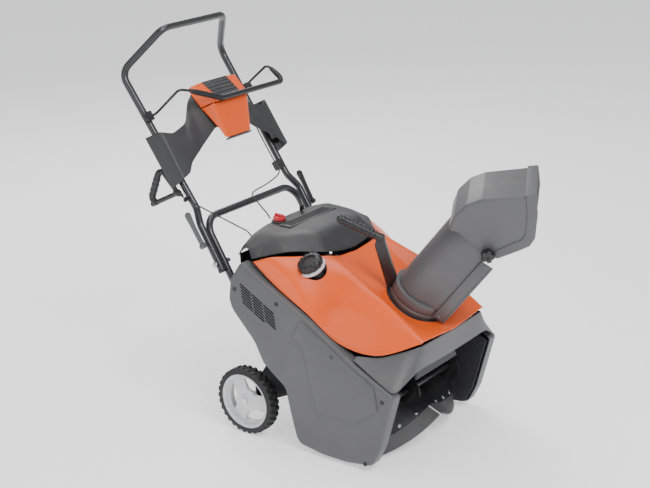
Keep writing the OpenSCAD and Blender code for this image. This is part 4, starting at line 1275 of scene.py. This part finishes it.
@dataclass
class Chute:
    """The turning chute with its handle, deflector and knobs."""

    radius: float = 72.0
    wall: float = 3.0
    hinge: tuple[float, float] = (-88.0, 233.0)

    def tube(self) -> None:
        """The open U-shaped chute with its stepped side strips."""
        a = np.linspace(0, np.pi, 41)
        back = np.column_stack([self.radius * np.cos(a), self.radius * np.sin(a)])
        r, lean = self.radius, math.radians(CHUTE_LEAN)
        path = np.concatenate([[(r, -55.0), (r, -28.0)], back, [(-r, -28.0), (-r, -55.0)]])
        low = (-6 - path[:, 1] * math.sin(lean)) / math.cos(lean)
        s = np.linspace(0, 1, 30)[:, None]
        z = low[None] * (1 - s) + 250 * s
        p = np.stack([np.broadcast_to(path[:, 0], z.shape), np.broadcast_to(path[:, 1], z.shape),
                      z], -1)
        shell = tidy_outward(grid_object("shell", CHUTE_LEANED.put(p)), CHUTE_LEANED)
        parts = [bevel(thicken(shell, self.wall), 0.8, 2, SKIN_ANGLE)]
        ear = [(0, 0.1), (0, 15), (2.2, 15), (3, 14), (3, 0.1)]
        head = [(0, 0.1), (0, 6.5), (1.8, 6.2), (3, 4.5), (3.4, 0.1)]
        for side in (-1, 1):
            out = CHUTE.basis[:, 0] * side
            x0, x1 = sorted((side * 71.5, side * 76))
            parts.append(block("strip", (x0, -90, -22), (x1, -52, 212), CHUTE_LEANED, 1.6))
            x0, x1 = sorted((side * 75, side * 77.5))
            parts.append(block("bead", (x0, -90, -20), (x1, -84, 210), CHUTE_LEANED, 1.1))
            parts.append(revolve("ear", ear, CHUTE.put(vec(side * 69, *self.hinge)), out, 48))
            parts.append(revolve("head", head, CHUTE.put(vec(side * 76, -62, -22)), out, 32))
        rib = np.stack([r * 1.012 * np.cos(a), r * 1.012 * np.sin(a), np.full_like(a, 245)], 1)
        parts.append(sweep("rib", CHUTE_LEANED.put(rib), 2.4, 12))
        dress(soft_edges(join("chute_tube_skin", parts), CREASE), "panel_grey", "chute",
              "chute_tube")

    def ring(self) -> None:
        """Dark ring with grip notches, under the chute."""
        profile = [(-53, 71), (-53, 83), (-50, 84), (-40, 84), (-38, 82), (-30, 82), (-28, 84),
                   (-10, 84), (-7, 83), (-6.2, 80), (-6.2, 71), (-53, 71)]
        ring = revolve("chute_ring_turned", profile, vec(*RING_AT), CHUTE.basis[:, 2], 160, 40,
                       0.8)
        dress(ring, "panel_grey", "chute", "chute_ring")

    def handle(self) -> None:
        """The crank arm and its ribbed grip."""
        outline = [(83, -46), (96, -46), (182, 62), (188, 96), (168, 98), (160, 84), (83, -8)]
        arm = slab("arm", rounded_outline(outline, 6, 4), -10, 10, CHUTE, 2.5)
        y = np.linspace(170, 311, 190)
        r = 11.3 + (2.2 * np.clip(np.sin((y - 190) / 12.5 * 2 * np.pi) * 2.2 + 0.4, 0, 1)
                    * (y > 192) * (y < 300))
        r *= np.sqrt(np.clip(1 - np.clip((y - 302) / 9.2, 0, 1) ** 2, 0.02, 1))
        route = CHUTE.put(np.stack([np.zeros_like(y), y, 88 + (y - 170) * 0.021], 1))
        handle = soft_edges(join("chute_handle_moulded", [arm, sweep("grip", route, r)]), 40)
        dress(handle, "black_plastic", "chute", "chute_handle")

    def deflector(self) -> None:
        """The tilting hood with its raised rim band."""
        back = [(38, 249), (44, 293), (30, 343), (3, 376), (-114, 459)]
        front = [(-145, 410), (-174, 340), (-173, 311), (-158, 288), (-116, 232), (-88, 218),
                 (-71, 233), (-33, 240), (11, 256)]
        curve = arcs([(0, *q) for q in back], 24, 6)[:, 1:]
        pts = np.concatenate([curve, np.array(front, float)])
        n, m = len(pts), len(curve)
        p = np.concatenate([np.column_stack([np.full(n, x), pts]) for x in (-76.4, 76.4)])
        faces = [[k, k + 1, n + k + 1, n + k] for k in range(m - 1)]
        faces += [list(range(n))[::-1], list(range(n, 2 * n))]
        shell = tidy_normals(mesh_object("shell", CHUTE.put(p), faces))
        middle = CHUTE.put(vec(0, -60, 330)) * MM
        f = shell.data.polygons[0]
        if np.dot(np.array(f.normal), np.array(f.center) - middle) < 0:
            shell.data.flip_normals()
        parts = [bevel(thicken(bake(bevel(shell, 9, 5, 40)), self.wall), 0.9, 2, SKIN_ANGLE)]
        line = np.array([back[-1], *front[:5]], float)
        inner = line + np.array([(22, -14), (26, -10), (28, -2), (28, 4), (22, 16), (18, 16)],
                                float)
        ring = rounded_outline(np.concatenate([line, inner[::-1]]).tolist(), 3, 3)
        parts += [slab("band", ring, x0, x1, CHUTE, 1.2) for x0, x1 in ((74, 78.6), (-78.6, -74))]
        top = np.array([(-114, 459), (-90, 443), (-92, 439.5), (-116, 455.5)], float)
        parts.append(slab("band", top + np.array([0.8, 0.5]), -77.5, 77.5, CHUTE, 0.9))
        skin = soft_edges(join("deflector_skin", parts), CREASE)
        dress(skin, "panel_grey", "chute_deflector", "deflector")

    def knobs(self) -> None:
        """Star knobs on the deflector's hinge."""
        star = [(0, 4), (0, 9), (1, 11), (2, 18.5), (4, 19.4), (16, 19.0), (19, 16.5), (20, 12),
                (20, 5), (17, 3), (17, 0.1)]
        post = [(-16, 0.1), (-16, 7), (-10, 7), (-10, 3.9), (1, 3.9), (1, 0.1)]
        for side, tag in ((1, "left"), (-1, "right")):
            at, out = CHUTE.put(vec(side * 77.5, *self.hinge)), CHUTE.basis[:, 0] * side
            name = f"deflector_knob_{tag}_star"
            parts = [revolve(name, star, at, out, 180, 5, 5.0), revolve("stem", post, at, out, 40)]
            knob = join(name, parts)
            dress(knob, "black_plastic", "knob_" + tag, "deflector_knob_" + tag)

    def build(self) -> None:
        """Makes the chute."""
        self.tube()
        self.ring()
        self.handle()
        self.deflector()
        self.knobs()


@dataclass
class Rotor:
    """Steel flights with bolted rubber paddles."""

    center: tuple[float, float] = (-150.0, 132.0)
    half: float = 220.0
    phases: tuple[float, float] = (197.0, 17.0)
    twist: float = 60.0
    paddle_lag: float = 4.2
    bolts: tuple[float, ...] = (50.0, 115.0, 180.0)
    bolt_r: float = 73.0
    housing_r: float = 137.4
    throat_half: float = 112.0

    def sheet(self, name: str, x0: float, x1: float, radii: tuple[float, float], phase: float,
              wall: float, side: int, curl: float = 0.0) -> Obj:
        """One helicoid sheet: the angle grows evenly along X, and as a square towards the tip.

        Args:
            name: the piece's name.
            x0: start from the middle.
            x1: end.
            radii: inner to outer.
            phase: angle at the middle, in degrees.
            wall: thickness.
            side: +1 or -1.
            curl: how far the tip bends back, in degrees.

        Returns:
            The sheet.
        """
        x = np.linspace(x0, x1, 48)[:, None]
        r = np.linspace(radii[0], radii[1], 18)[None]
        tip = (r - radii[0]) / (radii[1] - radii[0])
        a = np.radians(phase + self.twist * x / self.half + curl * tip ** 2)
        p = np.stack([np.broadcast_to(x * side, a.shape), self.center[0] + r * np.cos(a),
                      self.center[1] + r * np.sin(a)], -1)
        return bevel(thicken(grid_object(name, p), wall, float(side)), 0.7, 2, SKIN_ANGLE)

    def build(self) -> None:
        """Makes flights, paddles, bolts and the housing's ribs."""
        steel, rubber, bolts = [], [], []
        head = [(-5.0, 0.1), (-5.0, 5.0), (-4.4, 6.4), (-0.2, 6.4), (-0.2, 8.4), (14, 8.4),
                (14, 5.6),
                (17.5, 5.6), (18.5, 4.4), (18.5, 0.1)]
        for side in (-1, 1):
            for phase in self.phases:
                steel.append(self.sheet("flight", 1, 219, (34, 84), phase, 3, side))
                rubber.append(self.sheet("paddle", 5, 215, (54, 125.4), phase + self.paddle_lag, 6,
                                         side, -1.0))
                for x in self.bolts:
                    a = math.radians(phase + self.twist * x / self.half)
                    out = np.array([0, math.cos(a), math.sin(a)])
                    normal = np.array([0, -math.sin(a), math.cos(a)])
                    at = vec(side * x, *self.center) + out * self.bolt_r
                    bolts.append(revolve("bolt", head, at, normal, 24))
        for x in (-220, -2, 216):
            steel.append(revolve("disc", [(0, 9), (0, 44), (1.2, 46), (2.8, 46), (4, 44), (4, 9)],
                                 vec(x, *self.center), vec(1, 0, 0), 72))
        flights = soft_edges(join("rotor_flights_bent", steel), CREASE)
        dress(flights, "dark_steel", "rotor", "rotor_flights")
        paddles = soft_edges(join("rubber_paddles_sheet", rubber), CREASE)
        dress(paddles, "paddle_rubber", "rotor", "rubber_paddles")
        dress(join("rotor_bolts_heads", bolts), "bright_steel", "rotor", "rotor_bolts")
        self.housing_ribs()

    def housing_ribs(self) -> None:
        """Thin ribs round the housing's inside, clear of the throat."""
        a = np.radians(np.linspace(-60, 92, 60))
        y = self.center[0] + self.housing_r * np.cos(a)
        z = self.center[1] + self.housing_r * np.sin(a)
        ribs = [sweep("rib", np.stack([np.full_like(a, x), y, z], 1), 1.6, 8)
                for x in range(-200, 201, 40) if abs(x) > self.throat_half]
        dress(join("housing_ribs", ribs), "housing_black", "chassis")


@dataclass
class Controls:
    """Choke knob and ignition key."""

    choke_at: tuple[float, float, float] = (-80.0, 243.0, 605.0)
    key_at: tuple[float, float, float] = (30.0, 245.0, 605.0)

    def build(self) -> None:
        """Makes both controls."""
        profile = [(0, 4), (0, 17), (1.5, 18.5), (9, 18.3), (11, 16.5), (11.5, 9), (11.5, 0.1)]
        disc = revolve("disc", profile, vec(*self.choke_at), vec(0, 0, 1), 160, 16, 1.4)
        bar = block("bar", (-84, 226.5, 613), (-76, 259.5, 623.5), HERE, 2.6)
        knob = soft_edges(join("choke_knob_moulded", [disc, bar]), CREASE)
        dress(knob, "red_plastic", "choke", "choke_knob")
        head = block("head", (21, 242.6, 605), (39, 247.4, 622.5), HERE, 1.8)
        stem = revolve("stem", [(-18, 0.1), (-18, 2.9), (4, 2.9), (4, 0.1)], vec(*self.key_at),
                       vec(0, 0, 1), 24)
        key = soft_edges(join("ignition_key_moulded", [head, stem]), CREASE)
        dress(key, "black_plastic", "key", "ignition_key")


@dataclass
class Studio:
    """Floor, lights and a camera that looks from the right of the intake, in metres."""

    camera_at: tuple[float, float, float] = (-3.227, -2.268, 1.903)
    camera_axes: tuple[tuple[float, float, float], ...] = (
        (0.5931, -0.8049, -0.0165), (0.2696, 0.1793, 0.9461), (-0.7586, -0.5656, 0.3234))
    lens: float = 80.3
    aim: tuple[float, float, float] = (0.0, 0.1, 0.45)
    glow: float = 0.62
    sky: float = 0.5

    def paper(self) -> bpy.types.Material:
        """Matt white studio paper."""
        material = bpy.data.materials.new("studio_paper")
        material.use_nodes = True
        shader = material.node_tree.nodes["Principled BSDF"]
        shader.inputs["Base Color"].default_value = (0.9, 0.9, 0.905, 1)
        shader.inputs["Roughness"].default_value = 0.85
        shader.inputs["Emission Color"].default_value = (1.0, 1.0, 1.0, 1)
        shader.inputs["Emission Strength"].default_value = self.glow
        return material

    def build(self) -> None:
        """Sets the stage."""
        a = np.linspace(0, 2 * np.pi, 97)[:-1]
        r = np.array([0.01, 1, 3, 8, 20, 45])
        p = np.stack([r[:, None] * np.cos(a), r[:, None] * np.sin(a), np.zeros((6, 96))], -1)
        floor = grid_object("studio_floor", p / MM, False, True)
        floor.data.materials.append(self.paper())
        lamps = (("key", (-1.2, -2.6, 3.4), 1.8, 125), ("fill", (-3.4, 0.6, 1.8), 2.2, 24),
                 ("rim", (1.8, 2.6, 2.8), 1.8, 70), ("top", (0.2, 0.4, 4.4), 2.6, 60))
        for name, at, size, power in lamps:
            data = bpy.data.lights.new(name, "AREA")
            data.size, data.energy = size, power
            light = bpy.data.objects.new(name, data)
            light.location = at
            aim = Vector(self.aim) - Vector(at)
            light.rotation_euler = aim.to_track_quat("-Z", "Y").to_euler()
            bpy.context.scene.collection.objects.link(light)
        world = bpy.data.worlds.new("studio_world")
        world.use_nodes = True
        sky = world.node_tree.nodes["Background"]
        sky.inputs["Color"].default_value = (0.95, 0.96, 1.0, 1)
        sky.inputs["Strength"].default_value = self.sky
        bpy.context.scene.world = world
        cam = bpy.data.cameras.new("studio_camera")
        cam.lens, cam.sensor_width, cam.sensor_fit = self.lens, 36.0, "HORIZONTAL"
        obj = bpy.data.objects.new("studio_camera", cam)
        obj.location = self.camera_at
        obj.rotation_euler = Matrix(self.camera_axes).transposed().to_euler()
        bpy.context.scene.collection.objects.link(obj)
        bpy.context.scene.camera = obj


def finish_cad_nodes() -> None:
    """Gives the CAD nodes that stay visible their procedural finishes."""
    slots = {s["node"]: s["material_slot"] for s in frame["record"]["subparts"]}
    for name, obj in frame["nodes"].items():
        material = MATERIALS[slots[name]]
        if not obj.data.materials:
            obj.data.materials.append(material)
        for k in range(len(obj.material_slots)):
            obj.material_slots[k].material = material


def main() -> None:
    """Builds every sub-assembly, then the studio."""
    logging.basicConfig(level=logging.INFO)
    finish_cad_nodes()
    for part in (SidePanels(), Mouldings(), FuelCap(), Wheels(), Handles(), Console(), Chute(),
                 Rotor(), Controls(), Studio()):
        part.build()
        LOG.info("built %s", type(part).__name__)


if __name__ == "__main__":
    main()
